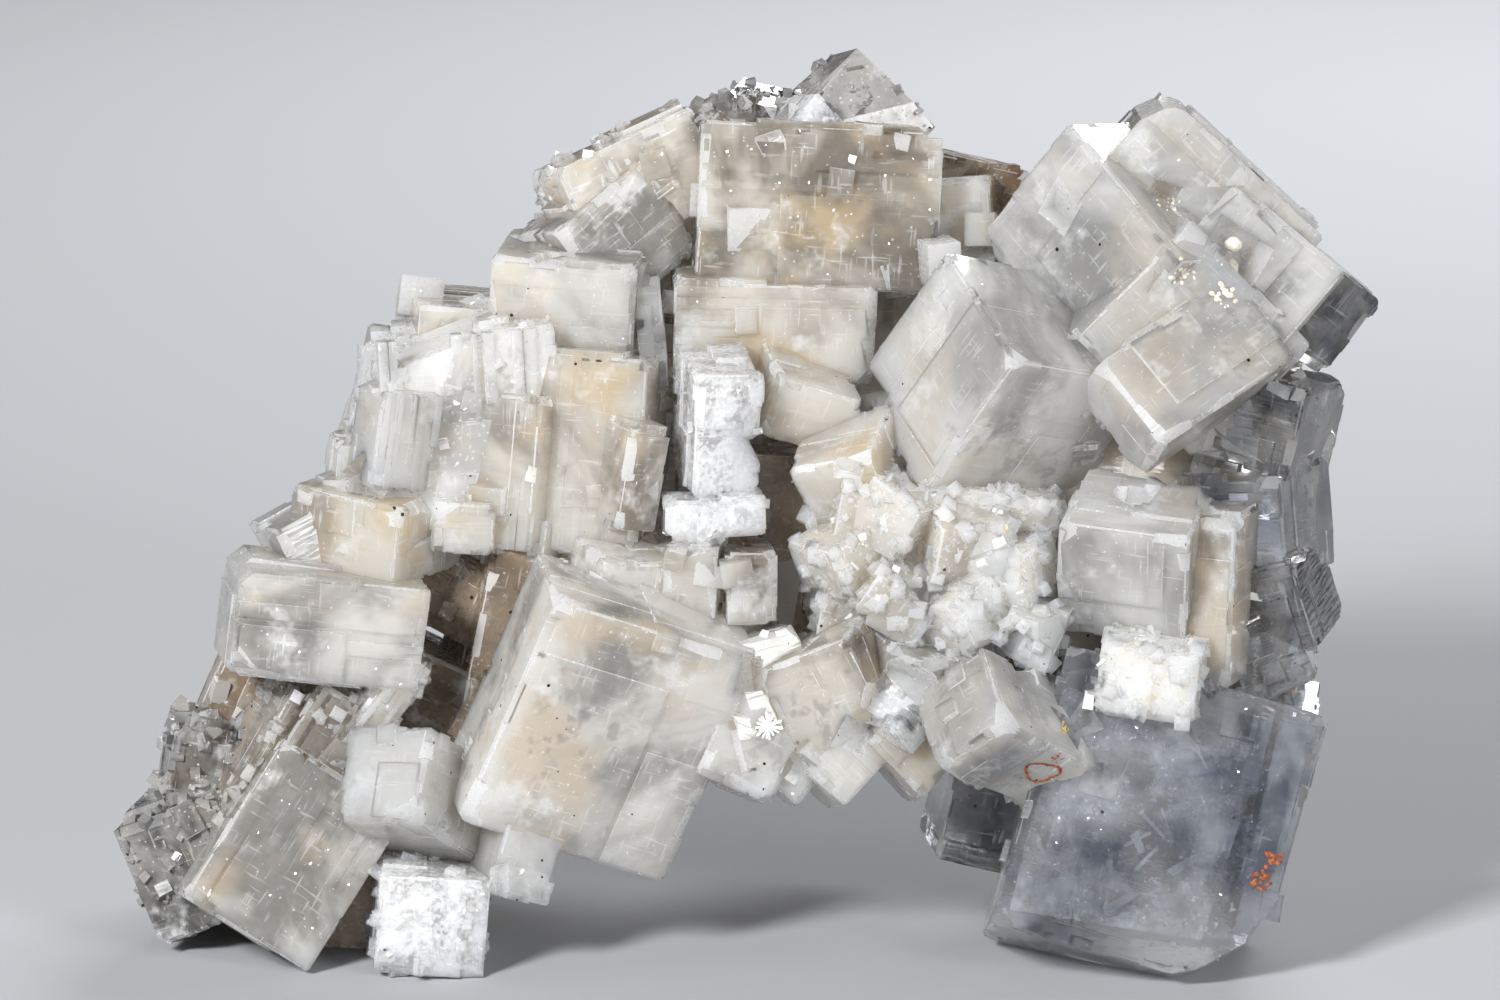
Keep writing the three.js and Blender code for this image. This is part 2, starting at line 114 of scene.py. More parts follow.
# %% List the cubes
CUBES = [
    ("core_left", "cloudy", (40, 28, 36), (-20, 46, 58), (8, 6, 5)),
    ("core_top", "cloudy", (46, 26, 34), (8, 50, 73), (-10, 4, -4)),
    ("core_middle", "dark_brown", (50, 26, 24), (16, 42, 48), (6, 8, 4)),
    ("core_right", "cloudy", (26, 26, 50), (46, 42, 60), (12, 0, 8)),
    ("core_left_foot", "dark_brown", (26, 24, 36), (-45, 38, 22), (-8, 4, 24)),
    ("core_low", "dark_brown", (32, 24, 20), (-16, 36, 38), (10, 8, 12)),
    ("core_right_foot", "dark_brown", (22, 24, 42), (46.5, 37, 25), (10, 4, 15)),
    ("back_left", "cloudy", (22, 16, 26), (-27, 59, 51), (20, 0, 12)),
    ("back_top", "milky", (24, 14, 24), (8, 63, 74), (-12, 6, -8)),
    ("back_right", "milky", (22, 18, 28), (32, 58, 64), (24, 4, 10)),
    ("back_low", "cloudy", (26, 18, 24), (8, 56, 48), (-20, 2, 6)),
    ("back_left_foot", "cloudy", (20, 16, 30), (-46, 52, 22), (14, 4, 16)),
    ("back_right_foot", "milky", (18, 16, 28), (44, 51, 21), (-16, 4, 12)),
    ("back_step_a", "milky", (16, 14, 18), (42, 62, 76), (18, 6, 2)),
    ("back_step_b", "cloudy", (18, 12, 14), (20, 69, 64), (8, -2, 8)),
    ("back_step_c", "cloudy", (14, 14, 20), (-6, 66, 60), (-16, 8, 0)),
    ("back_step_d", "cloudy", (15, 12, 13), (-38, 61, 60), (28, 2, 18)),
    ("back_step_e", "milky", (13, 12, 16), (-18, 66, 44), (12, -2, 4)),
    ("back_step_f", "milky", (16, 14, 15), (38, 64, 50), (14, 6, 12)),
    ("back_step_g", "cloudy", (14, 13, 15), (12, 61, 38), (-10, -4, -6)),
    ("back_step_h", "milky", (13, 12, 14), (-51, 53, 38), (2, 8, 28)),
    ("back_step_i", "milky", (12, 12, 16), (55, 51, 42), (24, 4, 4)),
    ("back_step_j", "clean", (12, 12, 14), (50, 52, 26), (-8, 6, 18)),
    ("back_step_k", "cloudy", (13, 12, 15), (-41, 56, 24), (24, -2, 14)),
    ("back_step_l", "cloudy", (14, 12, 12), (-12, 60, 76), (0, 10, -2)),
    ("side_right_a", "clean", (9, 14, 13), (57, 43, 76), (22, 8, 6)),
    ("side_right_b", "clear", (10, 12, 14), (58, 44, 60), (2, 6, -4)),
    ("side_right_c", "clear", (9, 13, 12), (54, 38, 26), (-6, 8, 12)),
    ("side_left_a", "cloudy", (10, 13, 12), (-38, 46, 66), (16, 10, 12)),
    ("side_left_b", "cloudy", (11, 14, 13), (-42, 45, 49), (-2, 8, 0)),
    ("side_left_c", "dark_brown", (9, 12, 12), (-57, 40, 30), (8, 6, 24)),
    ("spire", "grey", (12, 13, 12), (12, 40, 97), (15, 10, -40)),
    ("bright_corner", "sparkling", (8, 9, 7.5), (6, 33, 94), (22, 20, -42)),
    ("crest_left", "grey", (8, 8, 6), (-3.5, 38, 95.5), (20, 15, -22)),
    ("crest_right", "grey", (6, 8, 6), (1, 37, 97), (-10, 20, 12)),
    ("top_block", "cloudy", (27, 14, 18), (8, 34, 87), (4, 4, 3)),
    ("top_left_slab", "cloudy", (17.5, 16, 11), (-13, 38, 89.5), (12, 6, -24)),
    ("top_right_slab", "dark_brown", (18, 14, 14), (21.5, 44, 86.5), (10, 5, 13)),
    ("tilted_left", "milky", (13, 12, 12), (-15.5, 34, 83), (20, 15, -36)),
    ("left_block", "milky", (16, 18, 13), (-19.5, 32, 76), (-6, 14, 3)),
    ("left_spike", "clean", (3, 8, 13), (-10.5, 28, 72.5), (0, 5, -5)),
    ("curved_left", "frosted", (21, 20, 22), (-33, 29, 63.5), (12, 12, -3)),
    ("curved_lens", "clean", (7, 8, 11), (-39, 19, 61), (25, 10, 8)),
    ("curved_shoulder", "milky", (9, 12, 10), (-42, 28, 55.5), (10, 8, 6)),
    ("rear_left", "dark_brown", (11, 9, 8), (-28, 44, 70), (-20, 10, 5)),
    ("left_column", "cloudy", (12.5, 16, 22), (-16, 28, 59.5), (-12, 6, 4)),
    ("left_ridge", "cloudy", (8, 12, 17), (-24.5, 25, 57), (-25, 4, 5)),
    ("left_apex", "cloudy", (5, 7, 12), (-13, 20, 57), (35, 10, 10)),
    ("left_ledge", "cloudy", (14, 14, 9), (-41, 24, 51), (-30, 15, 5)),
    ("left_ledge_end", "clean", (11, 12, 7.5), (-47.5, 26, 50), (15, 12, -26)),
    ("recess_slab", "dark_brown", (16, 8, 9), (-29, 31, 42), (-15, 10, 25)),
    ("small_box", "cloudy", (7, 6, 5.5), (-31, 21, 51), (-8, 8, 2)),
    ("bright_slab", "milky", (21, 17, 11.5), (-47, 20, 40.5), (10, 8, 7)),
    ("foot_block", "grey", (13, 14, 12), (-58.5, 30, 22.3), (12, 5, 8)),
    ("foot_end", "grey", (13, 15, 14), (-61, 28, 14), (-15, 8, -22)),
    ("rib_a", "cloudy", (4, 9, 18), (-44, 20, 28), (20, 5, 40)),
    ("rib_b", "cloudy", (5, 9, 19), (-50, 20, 25), (10, 5, 32)),
    ("rib_c", "cloudy", (3.5, 9, 17), (-54.5, 22, 25.5), (25, 5, 30)),
    ("rib_d", "cloudy", (4, 9, 11), (-39.5, 19, 32), (5, 5, 35)),
    ("foot_face", "milky", (16, 18, 20), (-51.5, 23, 14.5), (10, -5, 32)),
    ("grey_prism", "clean", (10, 24, 10.5), (-35, 20, 20), (-26, -16, 8)),
    ("sparkling_foot", "sparkling", (12, 16, 11), (-35, 20, 8), (5, 10, 5)),
    ("low_wedge", "clean", (7, 11, 9), (-25.5, 18, 14.5), (20, 0, 15)),
    ("big_milky", "milky", (24.5, 13, 28), (-16, 16, 29.7), (20, 18, 24)),
    ("upper_milky", "milky", (13, 14, 9), (-13, 24, 45), (25, 20, 8)),
    ("stair_a", "sparkling", (6, 7, 4.5), (-6, 19, 52), (4, 10, 1)),
    ("stair_b", "sparkling", (3, 6, 5), (-3.5, 17, 51.5), (-6, 8, 0)),
    ("stair_c", "sparkling", (5, 7, 4.5), (-0.5, 18, 52.5), (6, 10, -2)),
    ("column_a", "cloudy", (5.5, 8, 8), (0.5, 19, 44.5), (5, 8, 0)),
    ("column_b", "cloudy", (6, 9, 9), (-5.5, 20, 45), (-8, 10, 3)),
    ("frosted_box", "sparkling", (7.5, 12, 14), (-3, 21, 62.5), (12, 16, 2)),
    ("centre_slab", "cloudy", (22.5, 16, 11), (3, 34, 74), (3, 12, 2)),
    ("wedge", "cloudy", (10, 10, 7), (6.5, 25, 65), (20, 20, 22)),
    ("centre_shard", "cloudy", (10, 11, 9), (12, 21, 57), (-25, 25, -22)),
    ("middle_low", "cloudy", (10, 14, 14), (1, 20, 32), (15, 5, -15)),
    ("centre_low", "cloudy", (11, 12, 11), (10, 17, 33.5), (-20, 10, -26)),
    ("hanging_a", "milky", (9, 11, 8), (-0.5, 18, 25.7), (10, -5, 22)),
    ("hanging_b", "milky", (6, 9, 6), (5, 20, 24), (0, -5, 40)),
    ("hanging_c", "milky", (8, 11, 8), (10, 19, 25.3), (5, -10, 43)),
    ("hanging_d", "milky", (8.5, 12, 8.5), (19, 19, 26.5), (0, -8, 46)),
    ("sugar_mass", "sugary", (25, 18, 18), (20.5, 27, 48), (10, 12, 10)),
    ("sugar_a", "sugary", (8, 9, 6), (11, 18, 48), (30, 25, -20)),
    ("sugar_b", "sugary", (7, 8, 7), (17, 17, 52), (-20, 20, 30)),
    ("sugar_c", "sugary", (9, 9, 7), (24, 18, 50), (25, 30, 10)),
    ("sugar_d", "sugary", (7, 8, 6), (30, 17, 46), (-35, 20, -15)),
    ("sugar_e", "sugary", (8, 8, 6), (17, 16, 43), (10, 25, 35)),
    ("sugar_f", "sugary", (7, 8, 7), (24, 15, 41), (40, 20, -25)),
    ("sugar_g", "sugary", (6, 7, 6), (32, 15, 39), (-10, 25, 15)),
    ("light_piece", "milky", (11, 12, 9), (20, 17, 33.5), (25, 15, 10)),
    ("striated_box", "sparkling", (4.5, 6, 4.5), (17, 12, 29.5), (40, -15, 40)),
    ("ring_crystal", "clean", (10, 16, 10.5), (28.5, 9.5, 28.5), (-30, -33, -17)),
    ("clear_block", "clear", (29.5, 20, 32), (45.5, 20.5, 17.2), (0, -8, 16)),
    ("rear_dark", "smoky", (18, 14, 10), (30.5, 34, 18), (10, 10, 15)),
    ("corner_cube", "clean", (18, 21.5, 20), (29, 24, 66.5), (-43, 27, 35)),
    ("right_face", "clean", (22, 13, 18), (41.5, 28, 82), (-28, 28, 38)),
    ("right_dome", "clean", (24, 18, 17), (50, 33, 86), (5, 5, 43)),
    ("right_body", "clean", (16, 17, 17), (56.5, 29, 77), (-10, 5, 40)),
    ("right_fill", "clean", (20, 18, 18), (48.5, 27, 73), (15, 0, 45)),
    ("right_lower", "clean", (20, 9, 11.5), (49, 18, 67.5), (27, -12, -39)),
    ("right_window", "smoky", (9.5, 11, 10.5), (63.5, 27, 75.5), (10, 5, 38)),
    ("right_cube", "clean", (14.5, 13.5, 13.5), (43.5, 18.5, 47.5), (-16, 28, 0)),
    ("right_cube_side", "milky", (7, 12, 19), (52.5, 20, 43.5), (-20, 12, 2)),
    ("right_cube_foot", "sugary", (11, 14, 8), (45.5, 15, 35), (-10, 15, 5)),
    ("rim_a", "smoky", (11, 16, 13), (58.8, 28, 61.5), (-20, 10, 12)),
    ("rim_b", "clear", (12, 15, 12), (57.5, 28, 51.5), (-25, 8, -5)),
    ("rim_c", "smoky", (11, 14, 10), (59, 27, 42.5), (-20, 10, -18)),
    ("rim_d", "clear", (9, 12, 8), (58.5, 27, 37), (-10, 10, -25)),
    ("rim_plate", "clear", (12, 12, 2.6), (58, 26, 31.5), (0, 25, 17)),
]
random.seed(11)          # every random choice below comes out the same in each run


def cube_matrix(centre, turn):
    """From a cube's own middle and axes, in millimetres, to the model."""
    heading, tilt, roll = (math.radians(a) for a in turn)
    spin = (Matrix.Rotation(roll, 4, "Y") @ Matrix.Rotation(tilt, 4, "X")
            @ Matrix.Rotation(heading, 4, "Z"))
    return TO_MODEL @ Matrix.Translation(centre) @ spin


PLACES = [cube_matrix(centre, turn) for _, _, _, centre, turn in CUBES]
SIZES = [Vector(size) for _, _, size, _, _ in CUBES]
FINISHES = [finish for _, finish, _, _, _ in CUBES]
print(len(CUBES), "cubes in", len(set(FINISHES)), "finishes")

# %% [markdown]
# ## The salt body
# The model's crystal solid is right in shape but has bare faces. A copy of it is merged into one
# closed skin and then worked on; the model's own mesh stays as it is.

# %% Copy the crystal solid


def copy_of_node(node, name):
    """A merged, unparented copy of a CAD node's mesh."""
    piece = bpy.data.objects.new(name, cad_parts[node].data.copy())
    bpy.context.scene.collection.objects.link(piece)
    bpy.context.view_layer.objects.active = piece
    piece.select_set(True)
    bpy.ops.object.mode_set(mode="EDIT")
    bpy.ops.mesh.select_all(action="SELECT")
    bpy.ops.mesh.remove_doubles(threshold=1e-6)
    bpy.ops.object.mode_set(mode="OBJECT")
    piece.data.materials.clear()
    bpy.ops.object.select_all(action="DESELECT")
    return piece


salt = copy_of_node("halite_cluster", "salt_cluster")
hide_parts("halite_cluster")
print("salt starts with", len(salt.data.polygons), "faces")

# %% [markdown]
# ## Telling inside from outside
# Steps and chips only make sense where a cube shows. The nearest face of the body tells on which
# side of the skin a point lies.

# %% Ask which side of the skin a point is on


def skin_of(piece):
    mesh = piece.data
    return BVHTree.FromPolygons([v.co for v in mesh.vertices], [p.vertices for p in mesh.polygons])


skin = skin_of(salt)


def outside(point):
    near, normal, _, _ = skin.find_nearest(point)
    return (point - near).dot(normal) > 0


print("the body's middle is outside:", outside(Vector((0, 0, 0.05))))

# %% [markdown]
# ## Adding and cutting many small blocks
# Growth steps are thin blocks added to a face, and cleavage chips are small blocks taken off an
# edge. One block is modelled and copied. Blocks that touch each other go into different batches,
# because a Boolean needs each of its inputs to be a clean closed mesh.

# %% Make batches of blocks


def unit_block():
    bpy.ops.mesh.primitive_cube_add(size=1)
    block = bpy.context.object
    block.name = "unit_block"
    bpy.ops.object.select_all(action="DESELECT")
    return block


def apart(gap, axes_a, halves_a, axes_b, halves_b):
    """True when a face direction of either block separates the two."""
    for axis in (*axes_a, *axes_b):
        reach = np.abs(axes_a @ axis) @ halves_a + np.abs(axes_b @ axis) @ halves_b
        if abs(gap @ axis) > reach + 1e-5:
            return True
    return False


def in_batches(matrices):
    """Groups of blocks in which no two meet."""
    centres = np.array([m.translation for m in matrices])
    sides = np.array([np.array(m)[:3, :3].T for m in matrices])
    lengths = np.linalg.norm(sides, axis=2)
    axes, halves = sides / lengths[:, :, None], lengths / 2
    radii = np.linalg.norm(halves, axis=1)
    batches = []
    for i in range(len(matrices)):
        for batch in batches:
            gaps = centres[batch] - centres[i]
            near = np.nonzero(np.linalg.norm(gaps, axis=1) < radii[batch] + radii[i] + 1e-5)[0]
            if all(apart(gaps[n], axes[i], halves[i], axes[batch[n]], halves[batch[n]])
                   for n in near):
                batch.append(i)
                break
        else:
            batches.append([i])
    return [[matrices[i] for i in batch] for batch in batches]


def work_blocks(piece, matrices, operation):
    """Adds (UNION) or cuts (DIFFERENCE) a copy of the unit block for each matrix."""
    block = unit_block()
    batches = in_batches(matrices)
    for batch in batches:
        copies = []
        for matrix in batch:
            copy = bpy.data.objects.new("block", block.data.copy())
            copy.data.transform(matrix)
            bpy.context.scene.collection.objects.link(copy)
            copy.select_set(True)
            copies.append(copy)
        bpy.context.view_layer.objects.active = copies[0]
        if len(copies) > 1:
            bpy.ops.object.join()
        tool = bpy.context.view_layer.objects.active
        bpy.ops.object.select_all(action="DESELECT")
        modifier = piece.modifiers.new("blocks", "BOOLEAN")
        modifier.solver = "MANIFOLD"
        modifier.operation = operation
        modifier.object = tool
        bpy.context.view_layer.objects.active = piece
        piece.select_set(True)
        bpy.ops.object.modifier_apply(modifier="blocks")
        bpy.ops.object.select_all(action="DESELECT")
        bpy.data.objects.remove(tool)
    bpy.data.objects.remove(block)
    print(operation.lower(), len(matrices), "blocks in", len(batches), "batches ->",
          len(piece.data.polygons), "faces")


# %% [markdown]
# ## Growth steps
# Salt grows in thin square layers that stop short of the cube's edge, so its faces carry terraces
# a few tenths of a millimetre high. They are modelled as blocks set into a corner of the face,
# each only where the face is really there and open to the air.

# %% Lay terraces on the open faces
TERRACE_RISE = (0.07, 0.26)      # millimetres
TERRACE_DEPTH = 1.2              # thickness of the block, most of it sunk in the face
TERRACE_AREA = 38                # square millimetres of face for each terrace


def terrace(index, axis, side, share, corner):
    """Matrix of a thin block on one face of a cube, or None where it wouldn't sit."""
    size, place = SIZES[index], PLACES[index]
    others = [k for k in range(3) if k != axis]
    extent, centre = Vector((0, 0, 0)), Vector((0, 0, 0))
    for n, k in enumerate(others):
        extent[k] = size[k] * share[n]
        centre[k] = corner[n] * ((size[k] - extent[k]) / 2 - 0.3)
    rise = random.uniform(*TERRACE_RISE)
    extent[axis] = TERRACE_DEPTH
    top = side * size[axis] / 2
    centre[axis] = top + side * (rise - TERRACE_DEPTH / 2)
    for a, b in ((0, 0), (-0.5, -0.5), (-0.5, 0.5), (0.5, -0.5), (0.5, 0.5)):
        probe = Vector(centre)
        probe[others[0]] += a * extent[others[0]]
        probe[others[1]] += b * extent[others[1]]
        probe[axis] = top - side * 0.35
        if outside(place @ probe):
            return None
    probe = Vector(centre)
    probe[axis] = top + side * 0.1
    if not outside(place @ probe):
        return None
    return place @ Matrix.Translation(centre) @ Matrix.Diagonal((*extent, 1))


def terraces():
    found = []
    for index, size in enumerate(SIZES):
        if FINISHES[index] == "sugary":
            continue
        for axis in range(3):
            a, b = (size[k] for k in range(3) if k != axis)
            for side in (-1, 1):
                for _ in range(min(7, 1 + int(a * b / TERRACE_AREA))):
                    share = (random.uniform(0.12, 0.8), random.uniform(0.12, 0.8))
                    corner = (random.choice((-1, 1)), random.choice((-1, 1)))
                    matrix = terrace(index, axis, side, share, corner)
                    if matrix:
                        found.append(matrix)
    return found


work_blocks(salt, terraces(), "UNION")

# %% [markdown]
# ## Worn edges and cleavage chips
# Salt is soft and splits into smaller cubes, so hardly an edge is whole. Along each open edge runs
# a narrow worn bevel in short lengths, broken here and there by a square-cut chip.

# %% Wear and chip the open edges
WEAR = (0.06, 0.2)               # depth of the worn bevel, millimetres
RUN = (1.2, 6.0)                 # length of one stretch of edge
SPLINTER = (0.3, 0.75)           # depth of a slanting splintered stretch
CHIP_CHANCE = 0.3
CHIP = (0.25, 1.1)               # width and depth of a square-cut chip
PEEK = 0.22                      # how far to either side of an edge to look


def open_runs(index, axis, sides):
    """Stretches of one cube edge that show, as (start, end) along the edge."""
    size, place = SIZES[index], PLACES[index]
    others = [k for k in range(3) if k != axis]
    half = size[axis] / 2
    steps = max(2, int(size[axis] / 0.6))
    runs, start, last = [], None, None
    for i in range(steps + 1):
        along = -half + size[axis] * i / steps
        probe = Vector((0, 0, 0))
        probe[axis] = max(-half + 0.2, min(half - 0.2, along))
        outer, inner = Vector(probe), Vector(probe)
        for n, k in enumerate(others):
            outer[k] = sides[n] * (size[k] / 2 + PEEK)
            inner[k] = sides[n] * (size[k] / 2 - PEEK)
        shows = outside(place @ outer) and not outside(place @ inner)
        if shows and start is None:
            start = along
        if not shows and start is not None:
            runs.append((start, last))
            start = None
        last = along
    if start is not None:
        runs.append((start, half))
    return [r for r in runs if r[1] - r[0] > 0.8]


def edge_cutters(index, axis, sides, run):
    """Blocks that wear or chip one stretch after another along an open edge."""
    size, place = SIZES[index], PLACES[index]
    others = [k for k in range(3) if k != axis]
    cutters = []
    along = run[0]
    while along < run[1] - 0.3:
        end = min(run[1], along + random.uniform(*RUN))
        centre = Vector((0, 0, 0))
        centre[axis] = (along + end) / 2
        extent = Vector((0, 0, 0))
        extent[axis] = end - along + 0.02
        kind = random.random()
        if kind < CHIP_CHANCE:
            extent[axis] *= random.uniform(0.3, 0.9)
            for n, k in enumerate(others):
                depth = random.uniform(*CHIP) * (0.45 if n == random.randint(0, 1) else 1)
                extent[k] = depth + 0.3
                centre[k] = sides[n] * (size[k] / 2 - depth / 2 + 0.15)
            turn = Matrix.Identity(4)
        else:
            wear = random.uniform(*(WEAR if kind < 0.75 else SPLINTER))
            side = wear * 3.2
            for n, k in enumerate(others):
                extent[k] = side
                centre[k] = sides[n] * (size[k] / 2 + (side / 2 - wear) * 0.7071)
            slant = [math.radians(random.uniform(-9, 9)) if kind > 0.75 else 0 for _ in range(3)]
            turn = (Euler(slant).to_matrix().to_4x4()
                    @ Matrix.Rotation(math.radians(45), 4, "XYZ"[axis]))
        cutters.append(place @ Matrix.Translation(centre) @ turn @ Matrix.Diagonal((*extent, 1)))
        along = end
    return cutters


def all_edge_cutters():
    found = []
    for index in range(len(CUBES)):
        for axis in range(3):
            for sides in ((-1, -1), (-1, 1), (1, -1), (1, 1)):
                for run in open_runs(index, axis, sides):
                    found += edge_cutters(index, axis, sides, run)
    return found


work_blocks(salt, all_edge_cutters(), "DIFFERENCE")

# %% [markdown]
# ## Broken corners
# Corners knock off first. Each open corner may lose a piece to one or two slanting planes.

# %% Break the open corners
CORNER_CHANCE = 0.75
CORNER_REACH = (0.5, 2.4)        # millimetres, on a cube of ten or more


def corner_cutters():
    found = []
    for index, size in enumerate(SIZES):
        for n in range(8):
            sides = Vector([1 if n >> k & 1 else -1 for k in range(3)])
            corner = Vector([sides[k] * size[k] / 2 for k in range(3)])
            if not outside(PLACES[index] @ (corner + sides * 0.2)):
                continue
            if outside(PLACES[index] @ (corner - sides * 0.3)):
                continue
            for _ in range(random.choice((1, 1, 2)) if random.random() < CORNER_CHANCE else 0):
                reach = random.uniform(*CORNER_REACH) * min(1, min(size) / 10)
                lean = Vector([random.uniform(-0.5, 0.5) for _ in range(3)])
                spin = (sides + lean).to_track_quat("Z", "Y").to_matrix().to_4x4()
                side = reach * 3
                centre = corner + (sides + lean).normalized() * (side / 2 - reach * 0.55)
                found.append(PLACES[index] @ Matrix.Translation(centre) @ spin
                             @ Matrix.Diagonal((side, side, side, 1)))
    return found


work_blocks(salt, corner_cutters(), "DIFFERENCE")

# %% [markdown]
# ## Sugary salt
# Where growth was fast the salt is a crust of tiny cubes. They sit half sunk in the faces of the
# sugary crystals, turned a little away from them.

# %% Sow tiny cubes on the sugary crystals
SUGAR_SIZE = (0.35, 1.8)


def owners(mesh):
    """For each face: the cube it belongs to, and the cube's axis that it faces along."""
    count = len(mesh.polygons)
    centres, normals = np.zeros(count * 3), np.zeros(count * 3)
    mesh.polygons.foreach_get("center", centres)
    mesh.polygons.foreach_get("normal", normals)
    centres, normals = centres.reshape(-1, 3), normals.reshape(-1, 3)
    best = np.full(count, 1e9)
    owner = np.zeros(count, int)
    axis = np.zeros(count, int)
    for i, place in enumerate(PLACES):
        inverse = np.array(place.inverted())
        local = centres @ inverse[:3, :3].T + inverse[:3, 3]
        turned = normals @ np.array(place)[:3, :3] * 1000
        reach = np.abs(local) - np.array(SIZES[i]) / 2
        for k in range(3):
            others = [j for j in range(3) if j != k]
            cost = np.abs(reach[:, k]) + np.maximum(reach[:, others].max(axis=1), 0) * 4
            cost += (1 - np.abs(turned[:, k])) * 3
            better = cost < best
            best[better], owner[better], axis[better] = cost[better], i, k
    return owner, axis


def seat_points(wanted, count, low=(-999, -999, -999), high=(999, 999, 999)):
    """Random places on the skin, on crystals of the wanted finishes, in an upright box."""
    mesh = salt.data
    areas = np.zeros(len(mesh.polygons))
    centres = np.zeros(len(mesh.polygons) * 3)
    mesh.polygons.foreach_get("area", areas)
    mesh.polygons.foreach_get("center", centres)
    owner = owners(mesh)[0]
    up = np.array(TO_UPRIGHT)
    upright = centres.reshape(-1, 3) @ up[:3, :3].T + up[:3, 3]
    fits = np.array([FINISHES[i] in wanted for i in range(len(CUBES))])[owner]
    fits &= np.all(upright > low, axis=1) & np.all(upright < high, axis=1)
    chosen = np.nonzero(fits)[0]
    picked = random.choices(list(chosen), weights=list(areas[chosen]), k=count)
    points = []
    for i in picked:
        polygon = mesh.polygons[int(i)]
        corners = [mesh.vertices[v].co for v in polygon.vertices]
        weights = [random.random() for _ in corners]
        total = sum(weights)
        point = sum((c * (w / total) for c, w in zip(corners, weights)), Vector((0, 0, 0)))
        points.append((point, polygon.normal.copy(), int(owner[i])))
    return points


def tiny_cubes(points, sizes, flat=0.0, sink=0.25, loose=25):
    """Blocks for the given places; flat is the share of them that are thin plates."""
    matrices = []
    for point, normal, index in points:
        size = sizes[0] + (sizes[1] - sizes[0]) * random.random() ** 2
        spin = PLACES[index].to_3x3().normalized().to_4x4()
        tilt = Euler([math.radians(random.uniform(-loose, loose)) for _ in range(3)])
        extent = [size * random.uniform(0.7, 1.2) for _ in range(3)]
        if random.random() < flat:
            extent[random.randint(0, 2)] *= 0.3
        at = point + normal * (0.5 - sink) * size * 0.001
        matrices.append(Matrix.Translation(at) @ spin @ tilt.to_matrix().to_4x4()
                        @ Matrix.Diagonal((*[e * 0.001 for e in extent], 1)))
    return matrices


work_blocks(salt, tiny_cubes(seat_points({"sugary"}, 1350), SUGAR_SIZE, 0.5, 0.5, 45), "UNION")

# %% [markdown]
# ## Young cubes in the joints
# Where grown cubes meet, younger ones of two to five millimetres have started and were swallowed.
# They stand a little proud, almost in line with their neighbours, and knit the crowd together.

# %% Sink young cubes into the crystals
young = tiny_cubes(seat_points({"cloudy", "dark_brown", "grey", "frosted"}, 260), (1.4, 5.0),
                   0.0, 0.8, 14)
young += tiny_cubes(seat_points({"milky", "clean"}, 90), (1.0, 3.2), 0.0, 0.86, 8)
young += tiny_cubes(seat_points({"clear"}, 40), (1.0, 3.6), 0.0, 0.86, 6)
work_blocks(salt, young, "UNION")

EVERYWHERE = ((-999, -999, -999), (999, 999, 999))
# finish, how many, where (lowest and highest corner, upright millimetres), sizes, then the share
# that are plates, how deep they sink and how far they turn
CRUSTS = [
    ("grey", 260, ((-999, -999, -999), (-20, 99, 40)), (0.4, 1.7), 0.4, 0.4, 40),
    ("sparkling", 120, ((-999, -999, -999), (-20, 99, 20)), (0.4, 1.8), 0.5, 0.45, 30),
    ("cloudy", 260, ((-999, -999, -999), (-20, 26, 40)), (0.3, 1.5), 0.4, 0.45, 30),
    ("grey", 240, ((-20, 0, 85), (999, 999, 999)), (0.3, 1.5), 0.5, 0.5, 40),
    ("cloudy", 120, ((-30, 0, 82), (-12, 99, 99)), (0.4, 1.6), 0.4, 0.5, 40),
    ("frosted", 130, ((-50, 0, 50), (-20, 99, 80)), (0.4, 1.9), 0.5, 0.6, 20),
    ("sparkling", 60, EVERYWHERE, (0.4, 1.4), 0.5, 0.6, 12),
]
crust = []
for finish, count, (low, high), sizes, plates, sink, loose in CRUSTS:
    crust += tiny_cubes(seat_points({finish}, count, low, high), sizes, plates, sink, loose)
work_blocks(salt, crust, "UNION")

# %% [markdown]
# ## Ribbed faces
# Some faces split into long narrow ribs that run with the cube. Each rib is a thin block along the
# face, and no two have the same width or height.

# %% Lay ribs on the striated faces
NAMES = [name for name, _, _, _, _ in CUBES]
RIB_DEPTH = 1.6                  # thickness of a rib, most of it sunk in the face


def ribs(name, axis, side, along, widths, rises, share=(0, 1)):
    """Ribs on one face of a cube, running along one of its axes."""
    index = NAMES.index(name)
    size, place = SIZES[index], PLACES[index]
    across = 3 - axis - along
    found = []
    at = -size[across] / 2 + 0.3 + size[across] * share[0]
    while at < -size[across] / 2 + size[across] * share[1] - 0.6:
        width = random.uniform(*widths)
        extent, centre = Vector((0, 0, 0)), Vector((0, 0, 0))
        extent[across], centre[across] = width, at + width / 2
        length = size[along] * random.uniform(0.35, 0.96)
        extent[along] = length
        centre[along] = random.choice((-1, 1)) * (size[along] - length - 0.3) / 2
        rise = random.uniform(*rises)
        extent[axis] = RIB_DEPTH
        centre[axis] = side * (size[axis] / 2 + rise - RIB_DEPTH / 2)
        top = Vector(centre)
        top[axis] = side * (size[axis] / 2 + 0.6)
        if outside(place @ top):
            found.append(place @ Matrix.Translation(centre)
                         @ Matrix.Rotation(math.radians(random.uniform(-3, 3)), 4, "XYZ"[along])
                         @ Matrix.Diagonal((*extent, 1)))
        at += width * random.uniform(0.6, 1.3)
    return found


